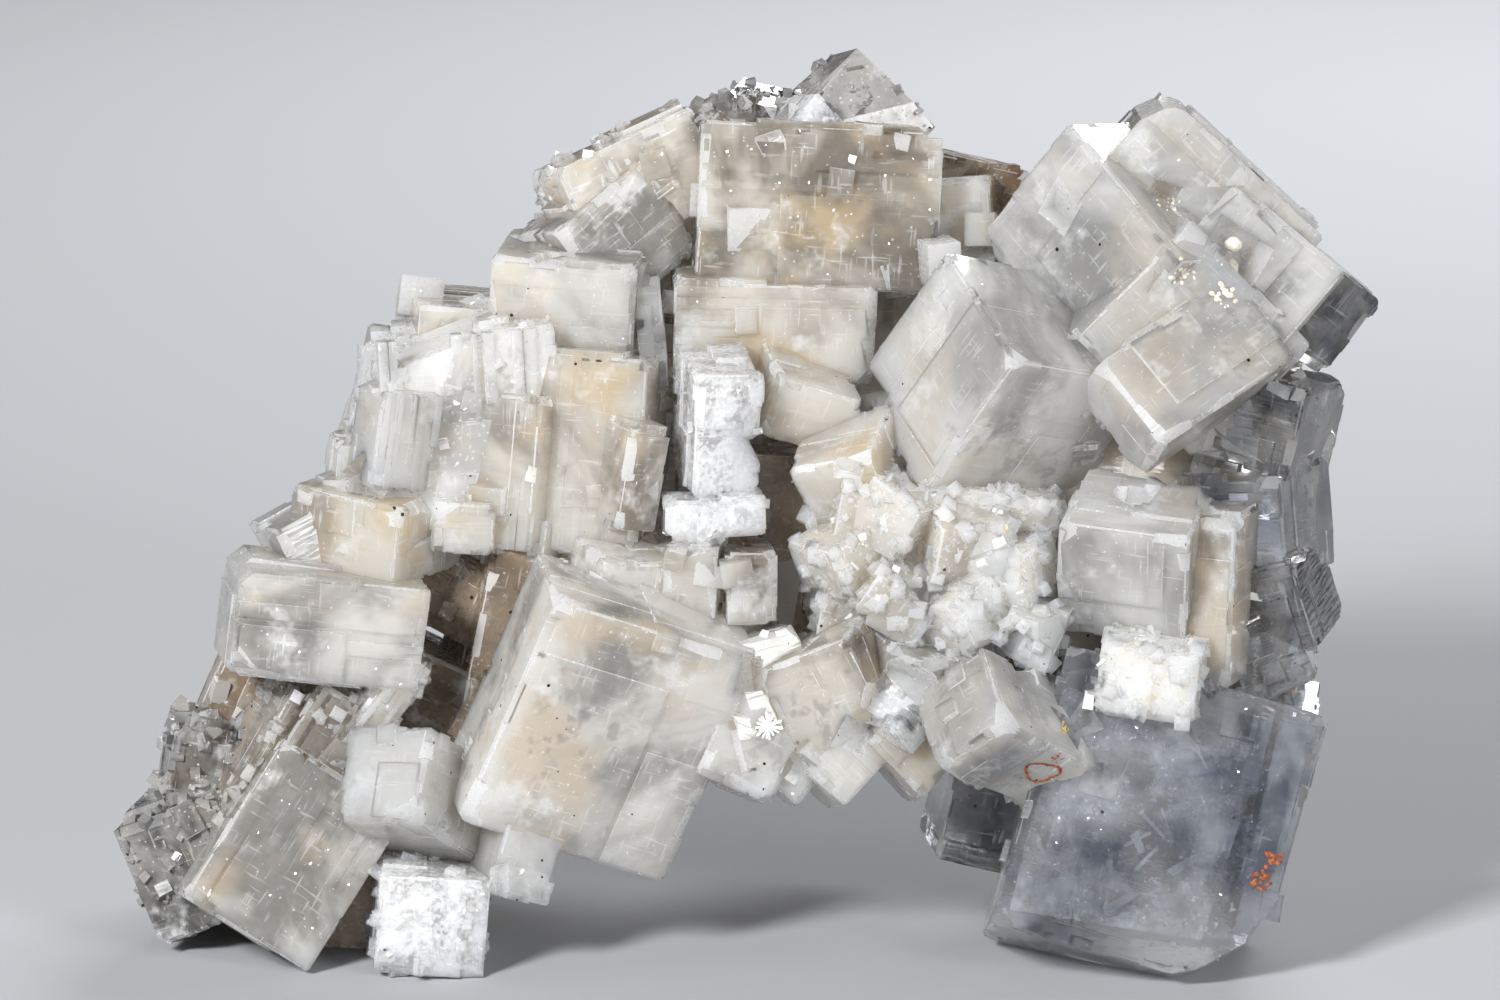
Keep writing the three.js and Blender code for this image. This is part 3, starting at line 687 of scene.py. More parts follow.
X, Y, Z = 0, 1, 2
ribbed = ribs("curved_left", Y, -1, Z, (0.5, 1.5), (0.15, 0.75))
ribbed += ribs("curved_lens", Y, -1, Z, (0.5, 1.1), (0.1, 0.4))
ribbed += ribs("left_column", Y, -1, Z, (0.6, 1.6), (0.1, 0.4))
ribbed += ribs("left_ridge", Y, -1, Z, (0.5, 1.2), (0.1, 0.4))
ribbed += ribs("foot_face", Y, -1, Z, (0.5, 1.6), (0.1, 0.5))
ribbed += ribs("grey_prism", Z, 1, Y, (0.5, 1.4), (0.08, 0.25))
ribbed += ribs("bright_slab", Y, -1, X, (0.4, 1.2), (0.08, 0.3))
ribbed += ribs("top_block", Y, -1, X, (0.5, 1.8), (0.06, 0.25))
ribbed += ribs("centre_slab", Y, -1, X, (0.4, 1.2), (0.06, 0.3))
ribbed += ribs("right_cube", Y, -1, X, (0.3, 0.9), (0.05, 0.2), (0.55, 1))
ribbed += ribs("striated_box", Y, -1, X, (0.3, 0.6), (0.05, 0.15))
for name in ("rib_a", "rib_b", "rib_c", "rib_d"):
    ribbed += ribs(name, Y, -1, Z, (0.35, 0.9), (0.15, 0.7))
for name in ("rim_a", "rim_b", "rim_c", "rim_d"):
    ribbed += ribs(name, Y, -1, X, (0.4, 1.4), (0.08, 0.35))
work_blocks(salt, ribbed, "UNION")

# %% [markdown]
# ## Flat feet
# The cluster was cut off its rock, so nothing may hang below the plane of the cut. One large block
# takes away whatever the new growth added under it, and anything past the model's own box.

# %% Trim the salt to the model's box
TRIM = 0.02                      # thickness of each cutting block, metres
room = cad_box[1] - cad_box[0]
middle = (cad_box[0] + cad_box[1]) / 2
trims = []
for axis in range(3):
    for side in (-1, 1):
        shift = Vector((0, 0, 0))
        shift[axis] = side * (room[axis] / 2 + TRIM / 2)
        extent = [room[k] + 2.5 * TRIM for k in range(3)]
        extent[axis] = TRIM
        trims.append(Matrix.Translation(middle + shift) @ Matrix.Diagonal((*extent, 1)))
work_blocks(salt, trims, "DIFFERENCE")

# %% [markdown]
# ## Telling the faces apart
# Each face now learns what it is. The cube it came from gives its finish and its tone, the plane
# it lies in gives a small difference from its neighbours, and a face that follows no cube axis is
# worn or broken. A UV map along the cube's own axes, ten millimetres to the unit, is there for
# patterns that follow growth. Painting the faces by hand would have to be done again after each
# change of shape; this way the tags always fit.

# %% Tag every face
FINISH_ORDER = ["milky", "cloudy", "clean", "clear", "frosted", "sugary", "dark_brown", "grey",
                "smoky", "sparkling"]
WORN_BELOW = 0.97                # how squarely a face must follow its cube to count as whole


def face_values(mesh, name, values):
    attribute = mesh.attributes.new(name, "FLOAT", "FACE")
    attribute.data.foreach_set("value", np.array(values, np.float32))


def mesh_arrays(mesh):
    """Face centres, face normals, corner positions and the face of each corner."""
    centres = np.zeros(len(mesh.polygons) * 3)
    normals = np.zeros(len(mesh.polygons) * 3)
    points = np.zeros(len(mesh.vertices) * 3)
    corners = np.zeros(len(mesh.loops), int)
    sides = np.zeros(len(mesh.polygons), int)
    mesh.polygons.foreach_get("center", centres)
    mesh.polygons.foreach_get("normal", normals)
    mesh.polygons.foreach_get("loop_total", sides)
    mesh.vertices.foreach_get("co", points)
    mesh.loops.foreach_get("vertex_index", corners)
    face_of_corner = np.repeat(np.arange(len(sides)), sides)
    return (centres.reshape(-1, 3), normals.reshape(-1, 3), points.reshape(-1, 3)[corners],
            face_of_corner)


def tag_faces(piece):
    mesh = piece.data
    owner, axis = owners(mesh)
    centres, normals, corners, face_of_corner = mesh_arrays(mesh)
    frames = np.array([np.array(p.inverted()) for p in PLACES])
    rows = frames[owner, axis]
    turned = (rows[:, :3] * normals).sum(axis=1) / 1000
    height = (rows[:, :3] * centres).sum(axis=1) + rows[:, 3]
    facets = {}
    keys = zip(owner.tolist(), axis.tolist(), np.round(height * 8).tolist())
    facet = [facets.setdefault(key, random.random()) for key in keys]
    cube_tone = np.array([random.random() for _ in CUBES])
    finish = np.array([FINISH_ORDER.index(f) for f in FINISHES])
    mesh.polygons.foreach_set("material_index", finish[owner])
    to_cube = frames[owner[face_of_corner]]
    local = np.einsum("nij,nj->ni", to_cube[:, :3, :3], corners) + to_cube[:, :3, 3]
    first = np.array([1, 0, 0])[axis[face_of_corner]]
    second = np.array([2, 2, 1])[axis[face_of_corner]]
    rank = np.arange(len(local))
    growth = np.stack([local[rank, first] * 0.1 + owner[face_of_corner],
                       local[rank, second] * 0.1], axis=1)
    face_values(mesh, "tone", cube_tone[owner])
    face_values(mesh, "facet", facet)
    face_values(mesh, "worn_and_edge_highlight", np.abs(turned) < WORN_BELOW)
    mesh.uv_layers.new(name="growth").data.foreach_set("uv", growth.astype(np.float32).ravel())
    print(len(mesh.polygons), "faces lie in", len(facets), "facets")


salt.data.materials.clear()
tag_faces(salt)

# %% [markdown]
# ## Shader groups
# Effects that several salts share are node groups: soft clouds of trapped brine and clay, tiny
# clay specks, bright cleavage glints, and the fine lines of growth. Each puts out a mask, a height
# or a normal, and each material uses it with its own numbers.

# %% Build the shared shader groups


def new_group(name, inputs, outputs):
    tree = bpy.data.node_groups.new(name, "ShaderNodeTree")
    for title, kind, value in inputs:
        socket = tree.interface.new_socket(title, in_out="INPUT", socket_type=kind)
        if value is not None:
            socket.default_value = value
    for title, kind in outputs:
        tree.interface.new_socket(title, in_out="OUTPUT", socket_type=kind)
    return tree, tree.nodes.new("NodeGroupInput"), tree.nodes.new("NodeGroupOutput")


def add_node(tree, kind, inputs=None, **settings):
    """A node with its settings; inputs holds values, or output sockets to link."""
    node = tree.nodes.new(kind)
    for key, value in settings.items():
        setattr(node, key, value)
    for key, value in (inputs or {}).items():
        if isinstance(value, bpy.types.NodeSocket):
            tree.links.new(value, node.inputs[key])
        else:
            node.inputs[key].default_value = value
    return node


def ranged(tree, value, low, high, to_low=0.0, to_high=1.0):
    node = add_node(tree, "ShaderNodeMapRange", {0: value, 1: low, 2: high, 3: to_low, 4: to_high},
                    interpolation_type="SMOOTHSTEP")
    return node.outputs[0]


def maths(tree, operation, a, b=0.0):
    return add_node(tree, "ShaderNodeMath", {0: a, 1: b}, operation=operation).outputs[0]


def blend_colour(tree, factor, a, b, mode="MIX"):
    node = add_node(tree, "ShaderNodeMix", data_type="RGBA", blend_type=mode)
    for key, value in ((0, factor), (6, a), (7, b)):
        if isinstance(value, bpy.types.NodeSocket):
            tree.links.new(value, node.inputs[key])
        else:
            node.inputs[key].default_value = value if key == 0 else (*value, 1)
    return node.outputs[2]


def make_clouds():
    tree, given, out = new_group(
        "salt_clouds",
        [("Vector", "NodeSocketVector", None), ("Scale", "NodeSocketFloat", 50.0)],
        [("Milk", "NodeSocketFloat"), ("Clay", "NodeSocketFloat"), ("Smudge", "NodeSocketFloat"),
         ("Frost", "NodeSocketFloat"), ("Mottle", "NodeSocketFloat")])
    place, scale = given.outputs["Vector"], given.outputs["Scale"]

    def noise(size, shift, detail, rough, distortion=0.0):
        moved = add_node(tree, "ShaderNodeVectorMath", {0: place, 1: (shift, shift * 0.7, -shift)},
                         operation="ADD")
        return add_node(tree, "ShaderNodeTexNoise", {
            "Vector": moved.outputs[0], "Scale": size, "Detail": detail, "Roughness": rough,
            "Distortion": distortion}).outputs["Fac"]

    milk = noise(scale, 0.0, 4.0, 0.6, 0.6)
    clay = noise(maths(tree, "MULTIPLY", scale, 1.5), 0.31, 3.0, 0.55)
    patch = noise(maths(tree, "MULTIPLY", scale, 1.6), 0.77, 2.0, 0.5)
    grit = noise(430.0, 0.5, 2.0, 0.65)
    smudge = maths(tree, "MULTIPLY", ranged(tree, patch, 0.5, 0.68), ranged(tree, grit, 0.5, 0.66))
    tree.links.new(ranged(tree, milk, 0.36, 0.62), out.inputs["Milk"])
    tree.links.new(ranged(tree, clay, 0.5, 0.68), out.inputs["Clay"])
    tree.links.new(smudge, out.inputs["Smudge"])
    frost = noise(110.0, 0.9, 4.0, 0.72)
    tree.links.new(ranged(tree, frost, 0.55, 0.68), out.inputs["Frost"])
    tree.links.new(ranged(tree, grit, 0.35, 0.68), out.inputs["Mottle"])
    return tree


def make_specks():
    tree, given, out = new_group(
        "clay_specks",
        [("Vector", "NodeSocketVector", None), ("Scale", "NodeSocketFloat", 1100.0),
         ("Share", "NodeSocketFloat", 0.035), ("Radius", "NodeSocketFloat", 0.26)],
        [("Mask", "NodeSocketFloat")])
    cells = add_node(tree, "ShaderNodeTexVoronoi", {
        "Vector": given.outputs["Vector"], "Scale": given.outputs["Scale"]})
    chosen = add_node(tree, "ShaderNodeSeparateColor", {0: cells.outputs["Color"]})
    patches = add_node(tree, "ShaderNodeTexNoise", {
        "Vector": given.outputs["Vector"], "Scale": 55.0, "Detail": 2.0})
    crowd = ranged(tree, patches.outputs["Fac"], 0.46, 0.64, 0.0, 2.5)
    share = maths(tree, "MULTIPLY", given.outputs["Share"], crowd)
    picked = maths(tree, "LESS_THAN", chosen.outputs[0], share)
    size = maths(tree, "MULTIPLY", given.outputs["Radius"], chosen.outputs[1])
    near = maths(tree, "LESS_THAN", cells.outputs["Distance"], size)
    tree.links.new(maths(tree, "MULTIPLY", picked, near), out.inputs["Mask"])
    return tree


def make_glints():
    tree, given, out = new_group(
        "cleavage_glints",
        [("Vector", "NodeSocketVector", None), ("Scale", "NodeSocketFloat", 2600.0),
         ("Share", "NodeSocketFloat", 0.03), ("Tilt", "NodeSocketFloat", 0.7)],
        [("Mask", "NodeSocketFloat"), ("Normal", "NodeSocketVector")])
    cells = add_node(tree, "ShaderNodeTexVoronoi", {
        "Vector": given.outputs["Vector"], "Scale": given.outputs["Scale"], "Randomness": 0.9})
    chosen = add_node(tree, "ShaderNodeSeparateColor", {0: cells.outputs["Color"]})
    mask = maths(tree, "LESS_THAN", chosen.outputs[0], given.outputs["Share"])
    centred = add_node(tree, "ShaderNodeVectorMath",
                       {0: cells.outputs["Color"], 1: (0.5, 0.5, 0.5)}, operation="SUBTRACT")
    strength = maths(tree, "MULTIPLY", mask, given.outputs["Tilt"])
    tilt = add_node(tree, "ShaderNodeVectorMath",
                    {0: centred.outputs[0], "Scale": strength}, operation="SCALE")
    surface = add_node(tree, "ShaderNodeNewGeometry")
    turned = add_node(tree, "ShaderNodeVectorMath",
                      {0: surface.outputs["Normal"], 1: tilt.outputs[0]}, operation="ADD")
    unit = add_node(tree, "ShaderNodeVectorMath", {0: turned.outputs[0]}, operation="NORMALIZE")
    tree.links.new(mask, out.inputs["Mask"])
    tree.links.new(unit.outputs[0], out.inputs["Normal"])
    return tree


def make_growth():
    tree, given, out = new_group(
        "growth_lines", [("UV", "NodeSocketVector", None)],
        [("Height", "NodeSocketFloat"), ("Streaks", "NodeSocketFloat")])

    def lines(scale, fineness, detail):
        stretch = add_node(tree, "ShaderNodeMapping", {"Vector": given.outputs["UV"],
                                                       "Scale": scale})
        return add_node(tree, "ShaderNodeTexNoise", {
            "Vector": stretch.outputs[0], "Scale": fineness, "Detail": detail,
            "Roughness": 0.6}).outputs["Fac"]

    along, across = lines((0.1, 1, 1), 22.0, 1.0), lines((1, 0.1, 1), 22.0, 1.0)
    crowd = ranged(tree, lines((1, 1, 1), 2.6, 1.0), 0.42, 0.62)
    lengthwise, crosswise = (ranged(tree, line, 0.61, 0.67) for line in (along, across))
    thin = maths(tree, "MAXIMUM", lengthwise, crosswise)
    tree.links.new(along, out.inputs["Height"])
    tree.links.new(maths(tree, "MULTIPLY", thin, crowd), out.inputs["Streaks"])
    return tree


CLOUDS, SPECKS, GLINTS, GROWTH = make_clouds(), make_specks(), make_glints(), make_growth()
print("groups:", [g.name for g in bpy.data.node_groups])

# %% [markdown]
# ## The salts
# All salts are one mineral, so they share one recipe: clear salt that lets light through, clouded
# to a degree by what it trapped. Only the numbers differ. The index of refraction is halite's own,
# 1.544, and how much light passes through is one plain value for each salt.

# %% Mix the salts
HALITE_IOR = 1.544
GLOW = (1.0, 0.92, 0.82)         # how far red, green and blue light spread under the skin
GLOW_SCALE = 0.01                # the unit of that spread, metres
BLACK_CLAY = (0.03, 0.025, 0.02)
WHITE = (0.95, 0.95, 0.95)
SALTS = {
    #          grey depth          milk               clay stain          clay  size  through rough
    "milky": ((0.33, 0.32, 0.30), (0.80, 0.78, 0.74), (0.74, 0.63, 0.49), 0.7, 50.0, 0.36, 0.09),
    "cloudy": ((0.26, 0.23, 0.19), (0.74, 0.70, 0.63), (0.68, 0.54, 0.35), 0.75, 56.0, 0.34, 0.11),
    "clean": ((0.34, 0.34, 0.34), (0.80, 0.79, 0.77), (0.74, 0.67, 0.56), 0.5, 42.0, 0.42, 0.07),
    # The clear salt's dark blue-grey depth is painted shade: it stands for the dark seen through
    # clear salt, which the pale floor behind would not give.
    "clear": ((0.11, 0.13, 0.18), (0.68, 0.71, 0.76), (0.64, 0.64, 0.64), 0.1, 60.0, 0.86, 0.06),
    "frosted": ((0.48, 0.47, 0.45), (0.87, 0.86, 0.84), (0.77, 0.69, 0.57), 0.4, 80.0, 0.28, 0.15),
    "sugary": ((0.56, 0.52, 0.46), (0.96, 0.95, 0.91), (0.86, 0.76, 0.58), 0.5, 80.0, 0.25, 0.18),
    # This finish makes its cubes dark brown all over: the cores, the recess slab and a few cubes
    # further back.
    "dark_brown": ((0.08, 0.045, 0.02), (0.34, 0.26, 0.18), (0.18, 0.1, 0.045), 0.8, 70.0, 0.3, 0.25),
    "grey": ((0.05, 0.047, 0.045), (0.36, 0.35, 0.33), (0.24, 0.19, 0.14), 0.5, 130.0, 0.35, 0.15),
    "smoky": ((0.04, 0.045, 0.055), (0.36, 0.36, 0.37), (0.32, 0.29, 0.25), 0.4, 70.0, 0.75, 0.08),
    "sparkling": ((0.42, 0.42, 0.43), (0.84, 0.84, 0.85), (0.78, 0.75, 0.7), 0.2, 300.0, 0.2, 0.1),
}
DENSE = ("dark_brown", "grey", "smoky", "clear")     # too dark or too clear to glow inside
# share of the face that glints, and the fineness of the glints
SPARKLE = {"sparkling": (0.5, 2600.0), "sugary": (0.1, 3600.0), "frosted": (0.08, 3600.0),
           "clear": (0.003, 4800.0), "smoky": (0.003, 4800.0), "grey": (0.02, 4800.0)}
# places in the clear block where the salt stayed clear and is painted dark, a painted shade for
# the dark seen through it (minus), or is a white cloud (plus)
WINDOWS = [((53, 10, 19), 10, -0.75), ((38, 9, 12), 7, -0.7), ((53, 8, 5), 8, 0.7),
           ((36, 9, 22), 7, 0.35)]


def place_group(tree, group, inputs):
    node = add_node(tree, "ShaderNodeGroup", node_tree=group)
    for key, value in inputs.items():
        if isinstance(value, bpy.types.NodeSocket):
            tree.links.new(value, node.inputs[key])
        else:
            node.inputs[key].default_value = value
    return node.outputs


def face_value(tree, name):
    return add_node(tree, "ShaderNodeAttribute", attribute_name=name).outputs["Fac"]


def salt_material(name, depth, milk, stain, clay_share, size, through, rough):
    material = bpy.data.materials.new(name + "_salt")
    material.use_nodes = True
    tree = material.node_tree
    shader = tree.nodes["Principled BSDF"]
    place = add_node(tree, "ShaderNodeTexCoord").outputs["Object"]
    growth_map = add_node(tree, "ShaderNodeUVMap", uv_map="growth").outputs[0]
    tone, facet, worn_and_edge_highlight = (face_value(tree, name) for name in ("tone", "facet", "worn_and_edge_highlight"))
    clouds = place_group(tree, CLOUDS, {"Vector": place, "Scale": size})
    specks = place_group(tree, SPECKS, {"Vector": place})
    share, fineness = SPARKLE.get(name, (0.009, 4800.0))
    glints = place_group(tree, GLINTS, {"Vector": place, "Share": share, "Scale": fineness})
    growth = place_group(tree, GROWTH, {"UV": growth_map})

    milkiness = maths(tree, "ADD", clouds["Milk"], ranged(tree, tone, 0.0, 1.0, -0.15, 0.2))
    for at, radius, change in WINDOWS if name == "clear" else ():
        away = add_node(tree, "ShaderNodeVectorMath", {0: place, 1: TO_MODEL @ Vector(at)},
                        operation="DISTANCE").outputs["Value"]
        near = ranged(tree, away, radius * 0.0004, radius * 0.0012, change, 0.0)
        milkiness = maths(tree, "ADD", milkiness, near)
    colour = blend_colour(tree, milkiness, depth, milk)
    clay = maths(tree, "MULTIPLY", clouds["Clay"], clay_share)
    colour = blend_colour(tree, clay, colour, stain)
    colour = blend_colour(tree, maths(tree, "MULTIPLY", clouds["Smudge"], 0.4), colour,
                          [c * 0.6 for c in depth])
    shade = ranged(tree, facet, 0.0, 1.0, 0.9, 1.0)
    shaded = add_node(tree, "ShaderNodeVectorMath", {0: colour, "Scale": shade}, operation="SCALE")
    bright = maths(tree, "MULTIPLY", clouds["Mottle"], 0.06)
    bright = maths(tree, "ADD", bright, maths(tree, "MULTIPLY", growth["Streaks"], 0.3))
    frost = 0.25 if name in ("clear", "smoky") else 0.55
    bright = maths(tree, "ADD", bright, maths(tree, "MULTIPLY", clouds["Frost"], frost))
    # Worn and broken faces are whitened: partly the real frosting of chipped salt, partly a
    # painted highlight along the edges.
    edge_wear_and_highlight = 0.25 if name == "grey" else 0.6
    bright = maths(tree, "MAXIMUM", bright, maths(tree, "MULTIPLY", worn_and_edge_highlight, edge_wear_and_highlight))
    colour = blend_colour(tree, bright, shaded.outputs[0], WHITE)
    colour = blend_colour(tree, specks["Mask"], colour, BLACK_CLAY)
    # Glint cells are also painted white: a painted glint beside the real one that their turned
    # normals give.
    colour = blend_colour(tree, maths(tree, "MULTIPLY", glints["Mask"], 0.45), colour, WHITE)
    roughness = ranged(tree, clouds["Mottle"], 0.0, 1.0, rough * 0.6, rough * 1.5)
    roughness = maths(tree, "ADD", roughness, maths(tree, "MULTIPLY", bright, 0.3))
    tree.links.new(colour, shader.inputs["Base Color"])
    tree.links.new(roughness, shader.inputs["Roughness"])
    bump = add_node(tree, "ShaderNodeBump", {
        "Strength": 0.3, "Distance": 0.0001, "Height": growth["Height"],
        "Normal": glints["Normal"]})
    tree.links.new(bump.outputs[0], shader.inputs["Normal"])
    shader.inputs["IOR"].default_value = HALITE_IOR
    shader.inputs["Transmission Weight"].default_value = through
    shader.inputs["Subsurface Weight"].default_value = 0.0 if name in DENSE else 1.0
    shader.inputs["Subsurface Radius"].default_value = GLOW
    shader.inputs["Subsurface Scale"].default_value = GLOW_SCALE
    return material


for finish in FINISH_ORDER:
    salt.data.materials.append(salt_material(finish, *SALTS[finish]))
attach(salt, "root")
print(len(salt.data.materials), "salts on", salt.name)

# %% [markdown]
# ## Crumbs, flakes and rust
# Small things lie on the salt: white cleavage flakes, crumbs of clay in the hollows, a ring and
# some spots of rust and one yellow spot. One lump is modelled, an ico sphere pushed about by a
# few sine waves, and every crumb is a copy of it, squeezed and turned.

# %% Scatter crumbs in heaps


def front_place(x, z):
    """Where the front is met at an upright x and z: a matrix whose z stands off the face."""
    start = TO_MODEL @ Vector((x, -200, z))
    along = (TO_MODEL.to_3x3() @ Vector((0, 1, 0))).normalized()
    hit, normal, _, _ = skin_now.ray_cast(start, along)
    return Matrix.Translation(hit) @ normal.to_track_quat("Z", "Y").to_matrix().to_4x4()


def plain_material(name, dark, light, scale, rough, through=0.0):
    """Two colours mixed by grain, with the same grain as bump."""
    material = bpy.data.materials.new(name)
    material.use_nodes = True
    tree = material.node_tree
    shader = tree.nodes["Principled BSDF"]
    place = add_node(tree, "ShaderNodeTexCoord").outputs["Object"]
    grain = add_node(tree, "ShaderNodeTexNoise",
                     {"Vector": place, "Scale": scale, "Detail": 4.0}).outputs["Fac"]
    bump = add_node(tree, "ShaderNodeBump",
                    {"Strength": 0.5, "Distance": 0.0001, "Height": grain})
    tree.links.new(blend_colour(tree, ranged(tree, grain, 0.38, 0.62), dark, light),
                   shader.inputs["Base Color"])
    tree.links.new(bump.outputs[0], shader.inputs["Normal"])
    shader.inputs["Roughness"].default_value = rough
    shader.inputs["IOR"].default_value = HALITE_IOR
    shader.inputs["Transmission Weight"].default_value = through
    return material


def heap(name, places, material, primitive="lump"):
    """Copies of one small shape at the given matrices, joined as one piece."""
    if primitive == "lump":
        bpy.ops.mesh.primitive_ico_sphere_add(subdivisions=1, radius=0.5)
    else:
        bpy.ops.mesh.primitive_cube_add(size=1)
    first = bpy.context.object
    for vertex in first.data.vertices:
        p = vertex.co * 9
        vertex.co *= 1 + 0.22 * math.sin(p.x + 1) * math.cos(p.y * 1.3) + 0.1 * math.sin(p.z * 2)
    first.data.materials.append(material)
    bpy.ops.object.select_all(action="DESELECT")
    copies = []
    for matrix in places:
        copy = bpy.data.objects.new(name, first.data.copy())
        copy.data.transform(matrix)
        bpy.context.scene.collection.objects.link(copy)
        copy.select_set(True)
        copies.append(copy)
    bpy.context.view_layer.objects.active = copies[0]
    bpy.ops.object.join()
    bpy.data.objects.remove(first)
    piece = copies[0]
    piece.name = piece.data.name = name
    bpy.ops.object.select_all(action="DESELECT")
    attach(piece, "root")
    print(name, len(places), "bits", len(piece.data.polygons), "faces")
    return piece


def bit(place, size, flat=1.0, shift=(0, 0)):
    """Matrix of one crumb on a place, turned at random; sizes in millimetres."""
    turn = Euler([random.uniform(0, 6.28) if flat == 1 else random.uniform(-0.25, 0.25),
                  random.uniform(-0.25, 0.25), random.uniform(0, 6.28)]).to_matrix().to_4x4()
    extent = [size * 0.001 * random.uniform(0.6, 1.3) for _ in range(2)] + [size * 0.001 * flat]
    return (place @ Matrix.Translation((shift[0] * 0.001, shift[1] * 0.001, 0)) @ turn
            @ Matrix.Diagonal((*extent, 1)))


def spread(x, z, count, radius, sizes, flat=0.5):
    """Crumbs around one point of the front, fewer further out."""
    found = []
    for _ in range(count):
        angle, away = random.uniform(0, 6.28), radius * random.random() ** 0.8
        place = front_place(x + away * math.cos(angle), z + away * math.sin(angle))
        found.append(bit(place, random.uniform(*sizes), flat))
    return found


skin_now = skin_of(salt)
star_blades = []
for n in range(18):
    around = Matrix.Rotation(math.radians(20 * n + random.uniform(-8, 8)), 4, "Z")
    length = random.uniform(1.1, 1.8) * 0.001
    outward = Matrix.Translation((length / 2, 0, 0.0001))
    blade = Matrix.Diagonal((length, 0.00024, random.uniform(0.0006, 0.0012), 1))
    star_blades.append(front_place(2.5, 28.8) @ around @ outward @ blade)
RUST = plain_material("rust", (0.16, 0.025, 0.004), (0.45, 0.11, 0.013), 2400.0, 0.6)
OCHRE = plain_material("ochre", (0.72, 0.45, 0.10), (0.85, 0.66, 0.30), 2000.0, 0.7)
rusty = []
for n in range(90):
    angle = n / 90 * 6.283
    wander = 1 + 0.12 * math.sin(3 * angle + 1) + random.uniform(-0.06, 0.06)
    rusty.append(bit(front_place(32.7 + 1.9 * wander * math.cos(angle),
                                 23.9 + wander * math.sin(angle)),
                     random.uniform(0.24, 0.42), 0.6))
rusty += spread(34.4, 25.6, 16, 0.8, (0.15, 0.4), 0.4)
rusty += spread(56.8, 12.1, 34, 1.3, (0.2, 0.65), 0.35)
rusty += spread(58.3, 14.1, 26, 1.2, (0.15, 0.55), 0.35)
heap("rust_marks", rusty, RUST)
heap("ochre_spots", spread(35.3, 28.6, 14, 0.7, (0.25, 0.5), 0.3)
     + spread(29.0, 50.5, 6, 0.5, (0.2, 0.4), 0.3), OCHRE)

clay_bits = spread(48.6, 79.1, 22, 1.5, (0.3, 0.8), 0.35)
clay_bits += spread(53.3, 76.5, 18, 1.4, (0.3, 0.8), 0.35)
clay_bits += spread(47.0, 87.0, 16, 1.6, (0.2, 0.6), 0.7)
clay_bits += spread(54.4, 80.8, 14, 2.4, (0.15, 0.4), 0.8)
CRUMB = plain_material("clay_crumb", (0.62, 0.55, 0.43), (0.84, 0.79, 0.68), 1800.0, 0.95)
heap("clay_crumbs", clay_bits, CRUMB)

FLAKE = plain_material("salt_flake", (0.93, 0.93, 0.92), (1.0, 1.0, 1.0), 900.0, 0.25, 0.2)
flakes = [bit(front_place(x, z), size, 0.25) for x, z, size in (
    (2.2, 39.0, 1.3), (61.9, 67.6, 1.5), (57.0, 43.0, 1.1), (40.3, 34.4, 1.0), (38.0, 31.8, 1.6),
    (-31, 36, 0.8), (-22, 88, 0.9), (12, 92, 0.8))]
for point, normal, _ in seat_points(set(FINISHES), 110):
    place = Matrix.Translation(point) @ normal.to_track_quat("Z", "Y").to_matrix().to_4x4()
    flakes.append(bit(place, 0.1 + 0.4 * random.random() ** 4, 0.3))
heap("salt_flakes", flakes, FLAKE, "block")
heap("salt_star", star_blades, FLAKE, "block")

# %% [markdown]
# ## What is sealed in the clear block
# The large clear crystal at the lower right holds things: cloudy veils where growth paused, square
# brine pockets in rows, and bright cracks. Painted on the skin they would not shift behind it as
# the view moves, so they are thin closed pieces inside the salt, lined up with the cube they grew
# in.

# %% Seal veils, brine pockets and cracks in the clear block


def veil_material():
    material = bpy.data.materials.new("brine_veil")
    material.use_nodes = True
    tree = material.node_tree
    shader = tree.nodes["Principled BSDF"]
    place = add_node(tree, "ShaderNodeTexCoord").outputs["Object"]
    soft = add_node(tree, "ShaderNodeTexNoise", {"Vector": place, "Scale": 75.0, "Detail": 5.0,
                                                 "Roughness": 0.65}).outputs["Fac"]
    dots = add_node(tree, "ShaderNodeTexNoise", {"Vector": place, "Scale": 1500.0,
                                                 "Detail": 2.0}).outputs["Fac"]
    cloud = ranged(tree, soft, 0.42, 0.66, 0.0, 0.7)
    veil = maths(tree, "ADD", cloud, ranged(tree, dots, 0.66, 0.7, 0.0, 0.5))
    tree.links.new(veil, shader.inputs["Alpha"])
    shader.inputs["Base Color"].default_value = (0.96, 0.97, 1, 1)
    shader.inputs["Roughness"].default_value = 0.5
    return material


BLOCK = NAMES.index("clear_block")


def in_block(centre, extent, tilt=0.0):
    """A thin block at a share of the clear block's size from its middle; extent in millimetres."""
    at = Vector([centre[k] * SIZES[BLOCK][k] / 2 for k in range(3)])
    lean = Euler([random.uniform(-tilt, tilt) for _ in range(3)]).to_matrix().to_4x4()
    return PLACES[BLOCK] @ Matrix.Translation(at) @ lean @ Matrix.Diagonal((*extent, 1))


